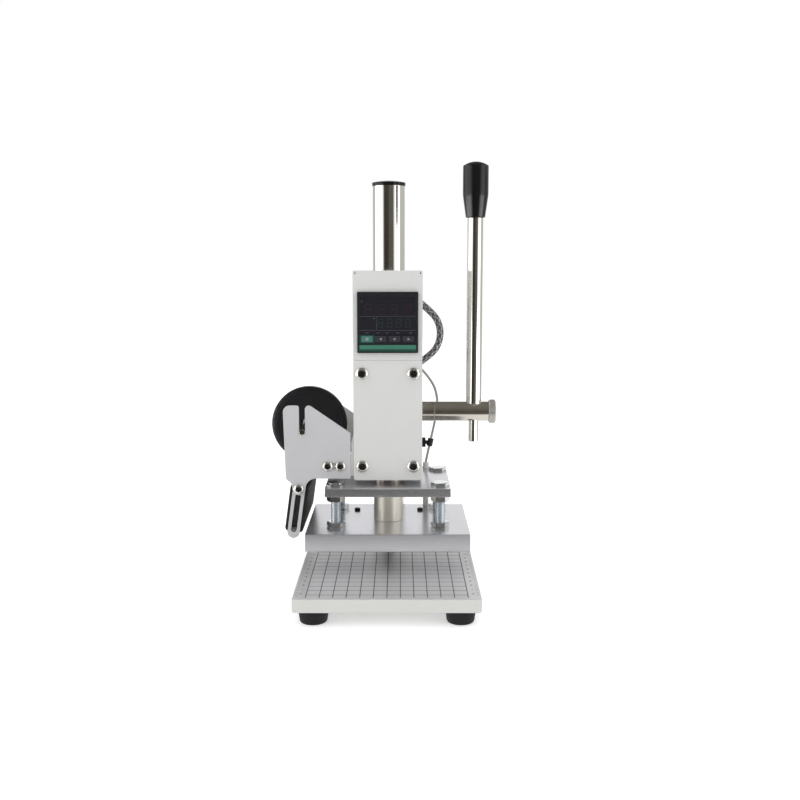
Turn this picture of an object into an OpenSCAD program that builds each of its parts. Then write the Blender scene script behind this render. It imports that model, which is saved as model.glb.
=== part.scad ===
// Hot foil stamping machine: a bench press with a heated plate, a rack and pinion lever,
// a temperature controller and a foil holder. Millimetres, +Z up.
// The origin is the centre of the work table's top, straight below the ram, and the user stands at -Y.

/* [Base] */
// Width of the base plate
base_w = 140; // [110:1:180]
// Depth of the base plate
base_d = 210; // [190:1:260]
// Thickness of the base plate
base_t = 10.5; // [9:0.5:16]
// Corner radius of the base plate
base_corner_r = 3; // [1:0.5:8]
// Diameter of a rubber foot where it meets the base
foot_d = 24; // [18:0.5:28]
// Diameter of a rubber foot where it meets the bench
foot_bottom_d = 21; // [16:0.5:24]
// Height of a rubber foot
foot_h = 11.5; // [10:0.5:18]
// Distance from a foot's centre to the plate's two nearest edges
foot_inset = 15; // [14.5:0.5:24]
// Thread diameter of the foot screws
foot_screw_d = 5; // [4:0.5:5.5]

/* [Column] */
// Diameter of the column
column_d = 28; // [24:0.5:30]
// Bore of the column above its solid foot
column_bore_d = 20; // [14:0.5:20.5]
// Height of the column above the table
column_h = 311; // [270:1:360]
// Distance from the ram's axis back to the column's axis
column_back = 68; // [67:0.5:78]
// Height of the column cap, from its edge to its crown
cap_h = 4.5; // [3:0.5:7]
// Thread diameter of the bolt that holds the column
column_bolt_d = 10; // [8:0.5:12]

/* [Press plates] */
// Open height between the table and the heating plate
daylight = 19.5; // [19.5:0.5:40]
// Travel of the ram
travel = 19; // [10:0.5:19]
// Width of the heating plate
heat_w = 130; // [110:1:132]
// Depth of the heating plate
heat_d = 100; // [98:1:104]
// Thickness of the heating plate
heat_t = 14; // [13:0.5:20]
// Diameter of a cartridge heater
heater_d = 8; // [6:0.5:8]
// Distance from the middle to each heater
heater_x = 24; // [18:0.5:24.5]
// Width of the upper plate
upper_w = 100; // [96:1:120]
// Depth of the upper plate
upper_d = 91; // [88:1:92]
// Thickness of the upper plate
upper_t = 6.5; // [5:0.5:10]
// How far the middle of the upper plate and of its bolts stands behind the ram's axis
upper_back = 5.5; // [4.5:0.5:6]
// Diameter of the pillar between the plates
pillar_d = 24; // [20:0.5:30]
// Height of the pillar between the plates
pillar_h = 27.5; // [24:0.5:40]
// Thread diameter of the four plate bolts
bolt_d = 8; // [6:0.5:8]
// Distance from the middle to the plate bolts, sideways
bolt_x = 42; // [38:0.5:43]
// Distance from the upper plate's middle to the plate bolts, front and back
bolt_y = 29.5; // [28:0.5:31]
// Height of a plate bolt's hex head
bolt_head_h = 2.4; // [2:0.1:4.1]

/* [Head] */
// Width of the head
head_w = 55; // [53:0.5:58]
// Height of the head
head_h = 96; // [94:0.5:104]
// Gap between the upper plate and the head
head_gap = 4.5; // [4.5:0.1:8]
// Distance from the ram's axis to the head's front face
head_front = 20; // [18:0.5:24]
// Thickness of the front cover
cover_t = 3; // [2:0.25:4]
// How far the front cover hangs below the head
cover_drop = 1.2; // [0:0.1:2]
// Corner radius of the front cover
cover_r = 2; // [0.5:0.5:4]
// Thread diameter of the cover screws
cover_screw_d = 6; // [4:0.5:6]
// Distance from a cover screw to the cover's side edge
cover_screw_inset_x = 7; // [6.5:0.25:8]
// Distance from a cover screw to the cover's top and bottom edges
cover_screw_inset_z = 10.5; // [8:0.25:12]
// Width of the clamping slit behind the column
slit_w = 3; // [2:0.5:5]
// Thread diameter of the clamp screws
clamp_screw_d = 6; // [5:0.5:6]

/* [Ram and lever] */
// Diameter of the ram
ram_d = 22; // [21:0.5:24]
// Wall of the ram bushes
bush_wall = 3; // [2:0.25:3.5]
// Length of the ram bushes
bush_l = 20; // [15:0.5:22]
// Gear module of the rack and pinion
gear_module = 1.5; // [1.5:0.01:1.55]
// Number of teeth on the pinion
pinion_teeth = 16; // [16:1:16]
// Width of the pinion
pinion_w = 14; // [10:0.5:16]
// Height of the lever shaft above the head's underside
shaft_up = 49; // [48:0.25:50]
// Diameter of the shaft inside the head
shaft_d = 10; // [9:0.5:11]
// Diameter of the shaft and its sleeve outside the head
hub_d = 16.5; // [15:0.5:17.5]
// How far the fixed sleeve stands out of the head
sleeve_out = 11; // [8:0.5:16]
// Length of the turning hub
hub_l = 45.5; // [40:0.5:56]
// Distance from the hub's outer end back to the lever rod's axis
rod_inset = 12.5; // [9:0.5:16]
// Diameter of the knurled end cap
end_cap_d = 19.8; // [17:0.2:24]
// Length of the knurled end cap
end_cap_l = 6; // [4:0.5:12]
// Diameter of the lever rod
rod_d = 13; // [11.5:0.5:14]
// Diameter of the rod's thin lower end
rod_pin_d = 8; // [6:0.5:9]
// How far the thin end reaches below the shaft's axis
rod_pin_l = 25.5; // [14:0.5:28]
// Length of the rod from the shaft's axis up to the knob
rod_l = 160.5; // [120:0.5:180]
// Largest diameter of the knob
knob_d = 21; // [18:0.5:28]
// Diameter of the knob where it meets the rod
knob_neck_d = 16; // [15:0.5:17]
// Height of the knob
knob_h = 45; // [36:0.5:60]
// Height of the knob's tapered part
knob_taper_h = 18; // [10:0.5:22]
// Wire diameter of the return spring
spring_wire_d = 1.8; // [1.2:0.1:1.9]
// Curls of the return spring
spring_turns = 4; // [3:1:4]

/* [Controller box] */
// Height of the controller box
box_h = 70.5; // [66:0.5:80]
// Depth of the controller box
box_d = 70; // [68:0.5:71]
// Sheet thickness of the box
box_sheet = 1.5; // [1:0.1:2]
// Side of the controller's square front
bezel = 48; // [47:0.25:50]
// Thickness of the controller's front
bezel_t = 3; // [2.6:0.1:5]
// Side of the controller's body behind the panel
case_side = 44.8; // [42:0.1:45]
// Depth of the controller's body behind the panel
case_d = 55; // [40:1:57]
// Height of the controller's centre above the box's bottom
controller_up = 30; // [28:0.25:34]
// Width of the display window
window_w = 43; // [36:0.5:44]
// Height of the display window
window_h = 29; // [20:0.5:30]
// Width of a key
key_w = 9; // [6:0.25:9.5]
// Height of a key
key_h = 5; // [3:0.25:5]
// Distance between two keys' centres
key_pitch = 10.85; // [10.5:0.05:11]
// Travel of a key
key_travel = 0.5; // [0.3:0.05:0.7]

/* [Foil holder] */
// Sheet thickness of the foil holder
foil_sheet = 2; // [1.5:0.1:2.5]
// Space between the two foil plates
foil_space = 98; // [92:0.5:104]
// Distance from the foil mount out to the reel shaft
reel_out = 39.2; // [37:0.1:42]
// Height of the reel shaft above the head's underside
reel_up = 38.3; // [36:0.1:44]
// Depth of the open slot that holds the reel shaft
reel_slot_depth = 21.3; // [16:0.1:26]
// Distance from the reel shaft to the foil plates' outer edge
plate_margin = 15.2; // [13:0.1:18]
// Height of the foil plates' fixing screws above the head's underside
foil_screw_up = 10.5; // [8:0.1:12]
// Distance from the foil plates' inner edge to the nearer fixing screw
foil_screw_inset = 8.2; // [6:0.1:9]
// Distance between the fixing screws of a foil plate
foil_screw_pitch = 10.2; // [9.5:0.1:14]
// Thread diameter of the foil plates' fixing screws
foil_screw_d = 5; // [4:0.1:5]
// Length of the mount's flanges
flange_l = 26; // [23:0.5:28]
// Height of the mount's web
web_h = 28; // [24:0.5:34]
// Distance from the reel shaft out to the foil guide's pivot
pivot_out = 3.2; // [2:0.1:6]
// Drop of the foil guide's pivot below the head's underside
pivot_drop = 8.2; // [7.5:0.1:9]
// Diameter of the reel shaft
reel_shaft_d = 4.6; // [3:0.1:5]
// Diameter of the reel disc
reel_d = 65; // [40:0.5:66]
// Thickness of the reel disc
reel_t = 7; // [4:0.5:16]
// Bore of the reel disc, which hangs loosely on its shaft
reel_bore_d = 12; // [8:0.5:14]
// Distance from the front foil plate back to the reel disc
reel_setback = 60; // [30:0.5:70]
// Width of the foil guide channel
guide_w = 14.8; // [14:0.1:16]
// Height of the foil guide channel
guide_h = 37; // [30:0.5:38]
// Wall of the foil guide channel
guide_wall = 2; // [1:0.1:2.2]
// Width of a slotted link
link_w = 10; // [9:0.25:12]
// Width of the slot in a link
link_slot_w = 4.5; // [3:0.1:5]
// Lean of the foil guide away from the heating plate, in degrees
guide_lean = 8; // [5:0.1:12]
// Thread diameter of the pivot screws
pivot_d = 5; // [4:0.25:5]

/* [Leads] */
// Diameter of the metal sleeved cable
cable_d = 6; // [4:0.25:6]
// Diameter of the thin heater lead
lead_d = 2.2; // [1.6:0.1:2.4]
// Diameter of the white sleeve on the lead
lead_sleeve_d = 5; // [3:0.1:5.2]

/* [Fits] */
// Radial clearance of screws, spigots and pockets
fit_gap = 0.1; // [0.05:0.01:0.15]
// Radial clearance of shafts and slides that move
run_gap = 0.05; // [0.03:0.01:0.08]
// Air left between loose neighbours
air_gap = 0.3; // [0.2:0.05:0.4]

/* [Hidden] */
$fn = 64;

// Cut tools run past the faces they cut by this much
over = 1;

// Heights of the press, from the table up
heat_z = daylight;
heat_top = heat_z + heat_t;
upper_z = heat_top + pillar_h;
upper_top = upper_z + upper_t;
head_z = upper_top + head_gap;
head_top = head_z + head_h;
shaft_z = head_z + shaft_up;

// Feet and the column's fastening
foot_x = base_w / 2 - foot_inset;
foot_y = base_d / 2 - foot_inset;
foot_round = 2;
foot_web = 3;
foot_head_d = 1.9 * foot_screw_d;
foot_head_h = 0.6 * foot_screw_d;
foot_thread = 0.8 * base_t;
foot_recess = foot_h - foot_web;
socket_floor = 4;
socket_depth = base_t - socket_floor;
column_solid = 40;
column_thread = 25;
washer_d = 2.5 * column_bolt_d;
washer_t = 2;
cap_lip = 0.5;
cap_plug_l = 12;
cap_edge_h = 0.6 * cap_h;
cap_step = 0.4;
cover_front = -head_front - cover_t;

// Plate bolts, heaters and their screws
bolt_floor = 3;
bolt_thread = heat_t - bolt_floor;
bolt_across = 1.625 * bolt_d;
bolt_nut_h = 0.85 * bolt_d;
thin_nut_h = 0.5 * bolt_d;
plate_r = 0.4;
heater_short = 12;
heater_l = heat_d - heater_short;
heater_screw_x = 27;
heater_screw_d = 3;
heater_screw_head_d = 5;
heater_screw_head_h = 1.8;
heater_screw_front = 7;
heater_screw_y = upper_back + bolt_y - heater_screw_front;
heater_screw_room = 0.5;
heater_screw_l = (heat_t - heater_d) / 2 - heater_screw_room;

// Rack and pinion, from the standard full depth tooth with a shortened rack tooth
pressure_angle = 20;
rack_addendum = 0.9 * gear_module;
dedendum = 1.25 * gear_module;
rack_pitch_y = ram_d / 2 - 2 * gear_module;
pitch_r = gear_module * pinion_teeth / 2;
tip_r = pitch_r + gear_module;
root_r = pitch_r - dedendum;
base_r = pitch_r * cos(pressure_angle);
backlash = 0.12;
flank_steps = 6;
shaft_y = rack_pitch_y + pitch_r;
rack_pitch = PI * gear_module;
rack_below = 2;
rack_above = ceil(travel / rack_pitch) + 2;
rack_flat_below = tip_r - gear_module;
rack_flat_above = rack_flat_below + travel;
tooth_half = 90 / pinion_teeth - backlash / pitch_r * 90 / PI;

// Ram, bushes and the chamber that they leave in the head
bush_d = ram_d + 2 * bush_wall;
ram_drop = 2;
ram_top = head_top - ram_drop;
chamber_side = 7.5;
chamber_z = head_z + bush_l;
pinion_room_top = 2.5;
pinion_room_back = 1.5;
chamber_top = shaft_z + tip_r + pinion_room_top;
chamber_back = shaft_y + tip_r + pinion_room_back;
ram_bolt_d = 8;
ram_bolt_head_d = 13;
ram_bolt_head_h = 8;
ram_bolt_l = 21;
ram_bolt_thread = ram_bolt_l - upper_t;

// Lever
sleeve_end = head_w / 2 + sleeve_out;
hub_start = sleeve_end + fit_gap;
hub_end = hub_start + hub_l;
rod_x = hub_end - rod_inset;
left_sink = 1;
left_end = -head_w / 2 + left_sink;
rod_seat = 0.4 * hub_d;
knob_spigot_d = 8;
knob_spigot_l = 20;
cap_stem_d = 8;
cap_stem_l = 6;
key_side = 3;
key_short = 4;
pinion_key_l = pinion_w - key_short;
key_depth = 1.8;
spring_rings = 8;
spring_space = 0.6;
spring_mean_r = (shaft_d / 2 + air_gap + spring_wire_d / 2) / cos(180 / spring_rings);
spring_pitch = spring_wire_d + spring_space;
spring_sides = 6;
spring_start = -head_w / 2 + chamber_side + air_gap + spring_wire_d / 2;

// Controller box and controller
box_top = head_top + box_h;
box_back = cover_front + box_d;
controller_z = head_top + controller_up;
bezel_front = cover_front - bezel_t;
bezel_r = 0.8;
panel_hole = case_side + 2 * fit_gap;
window_t = 1;
window_up = 4.7;
window_z = controller_z + window_up;
key_drop = 13;
key_z = controller_z - key_drop;
key_proud = 0.3;
key_root = 1.2;
key_t = key_travel + key_proud + key_root;
flange_w = 12;
side_screw_d = 3;
side_screw_l = 5;
side_screw_inset = 14;
side_screw_zs = [head_top + side_screw_inset, box_top - side_screw_inset];
side_screw_y = box_back - box_sheet - flange_w / 2;
notch_w = 2.2;
notch_h = 2.6;
gland_x = -19.5;
gland_up = 18;
gland_z = head_top + gland_up;
gland_af = 11;
gland_hex_h = 4;
gland_l = 9;
gland_mouth_d = 8.4;
gland_thread_d = 8;
gland_tail = 4;
gland_bore_d = 6;
switch_x = 16.5;
switch_up = 20;
switch_z = head_top + switch_up;
switch_w = 13;
switch_h = 19;
switch_flange = 1.5;
switch_d = 9;
rocker_w = 7;
rocker_half = 6;
rocker_rise = 5;
rocker_slope = 10;
rocker_sink = 5.2;
rocker_swing = 7;
rocker_pin_d = 2;
rocker_pin_out = 0.6;
rocker_y = box_back + switch_flange - rocker_sink;

// Screws of the head
clamp_out = 7;
clamp_y = column_back + column_d / 2 + clamp_out;
clamp_inset = 22;
clamp_zs = [head_z + clamp_inset, head_top - clamp_inset];
clamp_span = 2 * sqrt(pow(head_w / 2, 2) - pow(clamp_y - column_back, 2));
clamp_head_d = 1.6 * clamp_screw_d;
clamp_head_h = 0.9 * clamp_screw_d;
clamp_room = 0.6;
cover_hole_l = 14;

// Foil holder: the plates' outline hangs from the reel slot and the pivot
mount_web = -head_w / 2 - foil_sheet;
foil_front = cover_front;
foil_back_front = foil_front + foil_sheet;
foil_rear = foil_back_front + foil_space;
reel_shaft_x = mount_web - reel_out;
reel_shaft_z = head_z + reel_up;
reel_slot_r = reel_shaft_d / 2 + fit_gap;
reel_drop = (reel_bore_d - reel_shaft_d) / 2 - air_gap;
reel_z = reel_shaft_z - reel_drop;
reel_y = foil_back_front + reel_setback;
reel_bevel_w = 3.5;
reel_bevel_t = 1.5;
plate_gap = 0.5;
plate_lift = 0.2;
plate_shoulder_drop = 1;
plate_right = mount_web - plate_gap;
plate_left = reel_shaft_x - plate_margin;
plate_top = reel_shaft_z + reel_slot_depth;
plate_bottom = head_z + plate_lift;
plate_side_z = reel_shaft_z - plate_shoulder_drop;
plate_lean = 1.5;
pivot_x = reel_shaft_x - pivot_out;
pivot_z = head_z - pivot_drop;
lobe_r = 5.3;
neck_r = 6.5;
fillet_r = plate_bottom - pivot_z;
shoulder_r = 4.5;
shoulder_turn = 55;
neck_rise = 1;
neck_z = pivot_z + neck_rise;
shoulder_z = neck_z + (neck_r + shoulder_r) * sin(shoulder_turn);
ear_r = 3;
ear_turn = 54;
corner_r = 5.2;
mouth_r = 2;
arc_steps = 8;
foil_screw_x = plate_right - foil_screw_inset;
foil_screw_xs = [foil_screw_x - foil_screw_pitch, foil_screw_x];
foil_screw_z = head_z + foil_screw_up;
web_lift = 2;
web_z = head_z + web_lift;
flange_short = 10;
flange_h = web_h - flange_short;
mount_screw_d = 4;
mount_screw_ys = [0.2 * foil_space, 0.8 * foil_space];
mount_screw_z = web_z + web_h / 2;
guide_end_drop = 6;
link_short = 0.2;
link_end = guide_h - link_short;
link_slot_top = 7.1;
link_slot_rest = 2.5;
link_slot_end = guide_h - link_slot_rest;
link_front = foil_back_front + air_gap;
link_rear = foil_rear - air_gap;
nut_af = 1.6 * pivot_d;
nut_h = 3.2;
pivot_tail = 1;
pivot_nut_depth = 2 * foil_sheet + 2 * air_gap;

// Leads: routes chosen along the real run, in planes of constant Y, as X from the head's right side
// and Z from the head's top for the sleeved cable, or from its underside for the thin lead
cable_y = 30;
cable_points = [
    [-2.3, 44.9], [2.1, 41.2], [4.9, 38.9], [7.4, 36.5], [10, 33.9], [12.3, 31], [14, 27.9],
    [15.2, 24.6], [15.9, 21.3], [16.1, 18], [15.9, 14.7], [15.2, 11.4], [14, 8.1], [12.3, 5],
    [10, 2.1], [7.2, -0.4], [2.4, -4.3], [-2.2, -7.6], [-6.6, -10.6]
];
cable_route = [for (p = cable_points) [head_w / 2 + p[0], head_top + p[1]]];
lead_y = 45;
lead_points = [
    [-2.1, 84.4], [1.5, 81.2], [4.7, 77.6], [7.5, 74], [10, 70.2], [11.9, 66.4], [13.2, 62.6],
    [14, 58.8], [14.5, 55], [14.6, 51.5], [14.4, 47.5], [13.9, 43.5], [13.2, 39.5], [12.3, 35.5],
    [10.7, 28], [9.1, 20.8], [7.5, 13.5], [6, 6.5], [4.8, 0.5]
];
lead_route = [for (p = lead_points) [head_w / 2 + p[0], head_z + p[1]]];
cable_sides = 12;
lead_sides = 8;
clip_up = 18;
clip_z = head_z + clip_up;
clip_below = lead_route[len(lead_route) - 3];
clip_run = lead_route[len(lead_route) - 4] - clip_below;
clip_x = clip_below[0] + (clip_z - clip_below[1]) * clip_run[0] / clip_run[1];
clip_h = 6.8;
clip_ring_d = 5;
clip_foot_t = 4.5;
clip_foot_h = 7.8;
clip_neck_w = 2;
clip_neck_h = 3;
lead_end = lead_route[len(lead_route) - 1];
lead_bore_l = 5;
sleeve_room = 0.5;
cable_bore_l = 8;
probe_d = 4;
probe_l = 9;

// Points on an arc, in degrees
function arc(x, z, r, from, to) = [
    for (i = [0 : arc_steps])
        [x + r * cos(from + (to - from) * i / arc_steps), z + r * sin(from + (to - from) * i / arc_steps)]
];

// Height of a dome's sphere centre below its top
function dome_r(d, h) = (h * h + d * d / 4) / (2 * h);

// Angle, in degrees, that an involute has turned at radius r
function involute_turn(r) =
    let (a = acos(min(1, base_r / r)))
    tan(a) * 180 / PI - a;

// Half of a pinion tooth's angle at radius r
function flank_angle(r) = tooth_half + involute_turn(pitch_r) - involute_turn(max(r, base_r));

function polar(r, a) = [r * cos(a), r * sin(a)];

// Outline of the pinion, with one tooth pointing at the rack
pinion_radii = [for (k = [0 : flank_steps]) root_r + (tip_r - root_r) * k / flank_steps];
pinion_points = [
    for (i = [0 : pinion_teeth - 1])
        let (a = 180 + i * 360 / pinion_teeth)
            each concat(
                [for (r = pinion_radii) polar(r, a - flank_angle(r))],
                [for (k = [flank_steps : -1 : 0]) polar(pinion_radii[k], a + flank_angle(pinion_radii[k]))]
            )
];

// One ring of a tube around point p, on the axes n and b
function ring(p, n, b, r, sides) = [
    for (i = [0 : sides - 1]) p + r * cos(i * 360 / sides) * n + r * sin(i * 360 / sides) * b
];

function unit(v) = v / norm(v);

// Direction of a route at point i
function route_dir(points, i) =
    unit(points[min(i + 1, len(points) - 1)] - points[max(i - 1, 0)]);

// Rings of a tube along a flat route in the plane Y = y
function flat_rings(route, y, d, sides) =
    let (points = [for (p = route) [p[0], y, p[1]]])
    [
        for (i = [0 : len(points) - 1])
            let (t = route_dir(points, i))
                ring(points[i], [0, 1, 0], cross(t, [0, 1, 0]), d / 2, sides)
    ];

// Rings of the return spring, wound round the lever shaft
spring_points = [
    for (i = [0 : spring_turns * spring_rings])
        let (a = i * 360 / spring_rings)
            [
                spring_start + spring_pitch * i / spring_rings,
                shaft_y + spring_mean_r * cos(a),
                shaft_z + spring_mean_r * sin(a)
            ]
];
spring_ring_list = [
    for (i = [0 : len(spring_points) - 1])
        let (
            a = i * 360 / spring_rings,
            n = [0, cos(a), sin(a)],
            t = unit([spring_pitch, -2 * PI * spring_mean_r * sin(a), 2 * PI * spring_mean_r * cos(a)])
        )
            ring(spring_points[i], n, cross(t, n), spring_wire_d / 2, spring_sides)
];
spring_least_gap = min([
    for (i = [0 : len(spring_points) - 1 - spring_rings])
        norm(spring_points[i + spring_rings] - spring_points[i]) - spring_wire_d
]);
echo(spring_least_gap = spring_least_gap);

// A closed tube of triangles through a list of rings
module tube(rings) {
    sides = len(rings[0]);
    last = len(rings) - 1;
    walls = [
        for (k = [0 : last - 1], i = [0 : sides - 1])
            let (
                a = k * sides + i,
                b = k * sides + (i + 1) % sides,
                c = b + sides,
                d = a + sides
            )
                each [[a, c, b], [a, d, c]]
    ];
    first_cap = [for (i = [1 : sides - 2]) [0, i, i + 1]];
    last_cap = [for (i = [1 : sides - 2]) [last * sides, last * sides + i + 1, last * sides + i]];
    polyhedron([for (r = rings) each r], concat(walls, first_cap, last_cap));
}

// A flat rectangle with round corners, centred
module rounded_square(w, d, r) {
    square([w - 2 * r, d], center = true);
    square([w, d - 2 * r], center = true);
    for (x = [-1, 1], y = [-1, 1])
        translate([x * (w / 2 - r), y * (d / 2 - r)]) circle(r);
}

// A slot with round ends between two places on X
module round_slot(x0, x1, r) {
    translate([x0, -r]) square([x1 - x0, 2 * r]);
    for (x = [x0, x1])
        translate([x, 0]) circle(r);
}

// A hexagonal prism standing on Z = 0, by its width across flats
module hex_prism(across, h) {
    cylinder(d = across / cos(30), h = h, $fn = 6);
}

// A dome standing on Z = 0
module dome(d, h) {
    r = dome_r(d, h);
    intersection() {
        translate([0, 0, h - r]) sphere(r);
        cylinder(d = d + over, h = h + over);
    }
}

// A button head screw: head above Z = 0, shank below, with a hexagon socket
module button_screw(d, length) {
    head_h = 0.55 * d;
    difference() {
        union() {
            dome(1.75 * d, head_h);
            translate([0, 0, -length]) cylinder(d = d, h = length);
        }
        translate([0, 0, 0.4 * head_h]) hex_prism(0.62 * d, head_h);
    }
}

// A socket head screw: head above Z = 0, shank below
module socket_screw(d, head_d, head_h, length) {
    difference() {
        union() {
            cylinder(d = head_d, h = head_h);
            translate([0, 0, -length]) cylinder(d = d, h = length);
        }
        translate([0, 0, 0.45 * head_h]) hex_prism(0.6 * head_d, head_h);
    }
}

// A hexagon nut standing on Z = 0
module hex_nut(d, across, h) {
    difference() {
        hex_prism(across, h);
        translate([0, 0, -over]) cylinder(r = d / 2 + fit_gap, h = h + 2 * over);
    }
}

// A flat outline drawn in X and Z, from Y = y back to Y = y + t
module upright(y, t) {
    translate([0, y + t, 0]) rotate([90, 0, 0]) linear_extrude(t) children();
}

// Places its children at each of the base's four feet
module each_foot() {
    for (x = [-foot_x, foot_x], y = [-foot_y, foot_y])
        translate([x, y, 0]) children();
}

// Places its children at each plate bolt
module each_bolt() {
    for (x = [-bolt_x, bolt_x], y = [upper_back - bolt_y, upper_back + bolt_y])
        translate([x, y, 0]) children();
}

// Places its children at each cover screw, with -Z into the head
module each_cover_screw() {
    for (x = [-1, 1], z = [head_z + cover_screw_inset_z, head_top - cover_screw_inset_z])
        translate([x * (head_w / 2 - cover_screw_inset_x), cover_front, z]) rotate([90, 0, 0]) children();
}

// Places its children on the lever's axis, with +Z along +X
module on_shaft(x) {
    translate([x, shaft_y, shaft_z]) rotate([0, 90, 0]) children();
}

// Places its children at the foil guide's pivot, leaning as the guide does
module on_pivot() {
    translate([pivot_x, 0, pivot_z]) rotate([0, guide_lean, 0]) children();
}

module base_plate() {
    color("Gainsboro")
    difference() {
        translate([0, 0, -base_t]) linear_extrude(base_t) rounded_square(base_w, base_d, base_corner_r);
        each_foot() translate([0, 0, -base_t - over])
            cylinder(r = foot_screw_d / 2 + fit_gap, h = foot_thread + over);
        translate([0, column_back, -socket_depth])
            cylinder(r = column_d / 2 + fit_gap, h = socket_depth + over);
        translate([0, column_back, -base_t - over])
            cylinder(r = column_bolt_d / 2 + fit_gap, h = base_t + over);
    }
}

module feet() {
    foot_r = foot_bottom_d / 2;
    color("Black")
    each_foot() translate([0, 0, -base_t - foot_h])
        rotate_extrude()
            difference() {
                polygon(concat(
                    [[0, 0]],
                    arc(foot_r - foot_round, foot_round, foot_round, -90, 0),
                    [[foot_d / 2, foot_h], [0, foot_h]]
                ));
                square([foot_head_d / 2 + 2 * fit_gap, foot_recess]);
                square([foot_screw_d / 2 + fit_gap, foot_h]);
            }
}

module foot_screws() {
    color("Silver")
    each_foot() translate([0, 0, -base_t - foot_web]) mirror([0, 0, 1])
        socket_screw(foot_screw_d, foot_head_d, foot_head_h, foot_web + foot_thread - fit_gap);
}

module column() {
    color("Silver")
    translate([0, column_back, 0])
    difference() {
        translate([0, 0, -socket_depth]) cylinder(d = column_d, h = column_h + socket_depth);
        translate([0, 0, -socket_depth - over])
            cylinder(r = column_bolt_d / 2 + fit_gap, h = socket_depth + column_thread + over);
        translate([0, 0, column_solid]) cylinder(d = column_bore_d, h = column_h);
    }
}

module column_bolt() {
    head_h = 0.6 * column_bolt_d;
    tip_room = 3;
    shank = column_thread + base_t + washer_t - tip_room;
    color("Silver")
    translate([0, column_back, -base_t - washer_t]) {
        mirror([0, 0, 1]) hex_prism(1.6 * column_bolt_d, head_h);
        cylinder(d = column_bolt_d, h = shank);
        difference() {
            cylinder(d = washer_d, h = washer_t);
            translate([0, 0, -over]) cylinder(r = column_bolt_d / 2 + fit_gap, h = washer_t + 2 * over);
        }
    }
}

module column_cap() {
    color("Black")
    translate([0, column_back, column_h]) {
        cylinder(d = column_d + 2 * cap_lip, h = cap_edge_h);
        translate([0, 0, cap_edge_h]) dome(column_d + 2 * (cap_lip - cap_step), cap_h - cap_edge_h);
        translate([0, 0, -cap_plug_l]) cylinder(r = column_bore_d / 2 - fit_gap, h = cap_plug_l);
    }
}

module head_body() {
    color("WhiteSmoke")
    difference() {
        union() {
            translate([-head_w / 2, -head_front, head_z]) cube([head_w, head_front + column_back, head_h]);
            translate([0, column_back, head_z]) cylinder(d = head_w, h = head_h);
        }
        translate([0, column_back, head_z - over])
            cylinder(r = column_d / 2 + run_gap, h = head_h + 2 * over);
        translate([-slit_w / 2, column_back, head_z - over]) cube([slit_w, head_w, head_h + 2 * over]);
        for (z = clamp_zs)
            translate([-head_w / 2, clamp_y, z]) rotate([0, 90, 0]) {
                cylinder(r = clamp_screw_d / 2 + fit_gap, h = head_w);
                cylinder(r = clamp_head_d / 2 + clamp_room, h = head_w / 2 - clamp_span / 2 + clamp_screw_d);
            }
        translate([0, 0, head_z - over]) cylinder(d = bush_d, h = head_h + 2 * over);
        translate([-head_w / 2 + chamber_side, -head_front - over, chamber_z])
            cube([head_w - 2 * chamber_side, head_front + over + chamber_back, chamber_top - chamber_z]);
        on_shaft(-head_w / 2 - over) cylinder(d = hub_d, h = head_w + 2 * over);
        each_cover_screw() translate([0, 0, -cover_t - cover_hole_l])
            cylinder(r = cover_screw_d / 2 + fit_gap, h = cover_hole_l + over);
        for (y = mount_screw_ys)
            translate([-head_w / 2 - over, foil_back_front + y, mount_screw_z]) rotate([0, 90, 0])
                cylinder(r = mount_screw_d / 2 + fit_gap, h = chamber_side + over);
        lead_bore();
        cable_bore();
    }
}

// Slanted hole in the head's side for the thin lead
module lead_bore() {
    run = lead_route[1] - lead_route[0];
    translate([lead_route[1][0], lead_y, lead_route[1][1]]) rotate([0, atan2(run[0], run[1]), 0])
        translate([0, 0, -lead_bore_l]) cylinder(r = lead_d / 2 + air_gap, h = 2 * lead_bore_l);
}

// Slanted hole in the head's side for the lower end of the sleeved cable
module cable_bore() {
    last = len(cable_route) - 1;
    run = cable_route[last - 1] - cable_route[last];
    translate([cable_route[last][0], cable_y, cable_route[last][1]]) rotate([0, atan2(run[0], run[1]), 0])
        translate([0, 0, -air_gap]) cylinder(r = cable_d / 2 + air_gap, h = 2 * cable_bore_l);
}

module front_cover() {
    color("WhiteSmoke")
    difference() {
        upright(cover_front, cover_t)
            translate([0, head_z + (head_h - cover_drop) / 2])
                rounded_square(head_w, head_h + cover_drop, cover_r);
        each_cover_screw() translate([0, 0, -cover_t - over])
            cylinder(r = cover_screw_d / 2 + fit_gap, h = cover_t + 2 * over);
    }
}

module cover_screws() {
    color("Silver")
    each_cover_screw() button_screw(cover_screw_d, cover_t + cover_hole_l - fit_gap);
}

module clamp_screws() {
    color("DimGray")
    for (z = clamp_zs)
        translate([-clamp_span / 2 + clamp_screw_d, clamp_y, z]) rotate([0, -90, 0])
            socket_screw(clamp_screw_d, clamp_head_d, clamp_head_h, clamp_span - 2 * clamp_screw_d);
}

// A bronze bush for the ram, standing on Z = z
module ram_bush(z) {
    color("Peru")
    translate([0, 0, z]) difference() {
        cylinder(d = bush_d, h = bush_l);
        translate([0, 0, -over]) cylinder(r = ram_d / 2 + run_gap, h = bush_l + 2 * over);
    }
}

module lower_bush() {
    ram_bush(head_z);
}

module upper_bush() {
    ram_bush(chamber_top);
}

// A bush on the lever's axis from X = x0 to X = x1
module shaft_bush(x0, x1) {
    on_shaft(x0) difference() {
        cylinder(d = hub_d, h = x1 - x0);
        translate([0, 0, -over]) cylinder(r = shaft_d / 2 + run_gap, h = x1 - x0 + 2 * over);
    }
}

module shaft_sleeve() {
    color("Silver") shaft_bush(head_w / 2 - chamber_side, sleeve_end);
}

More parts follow.
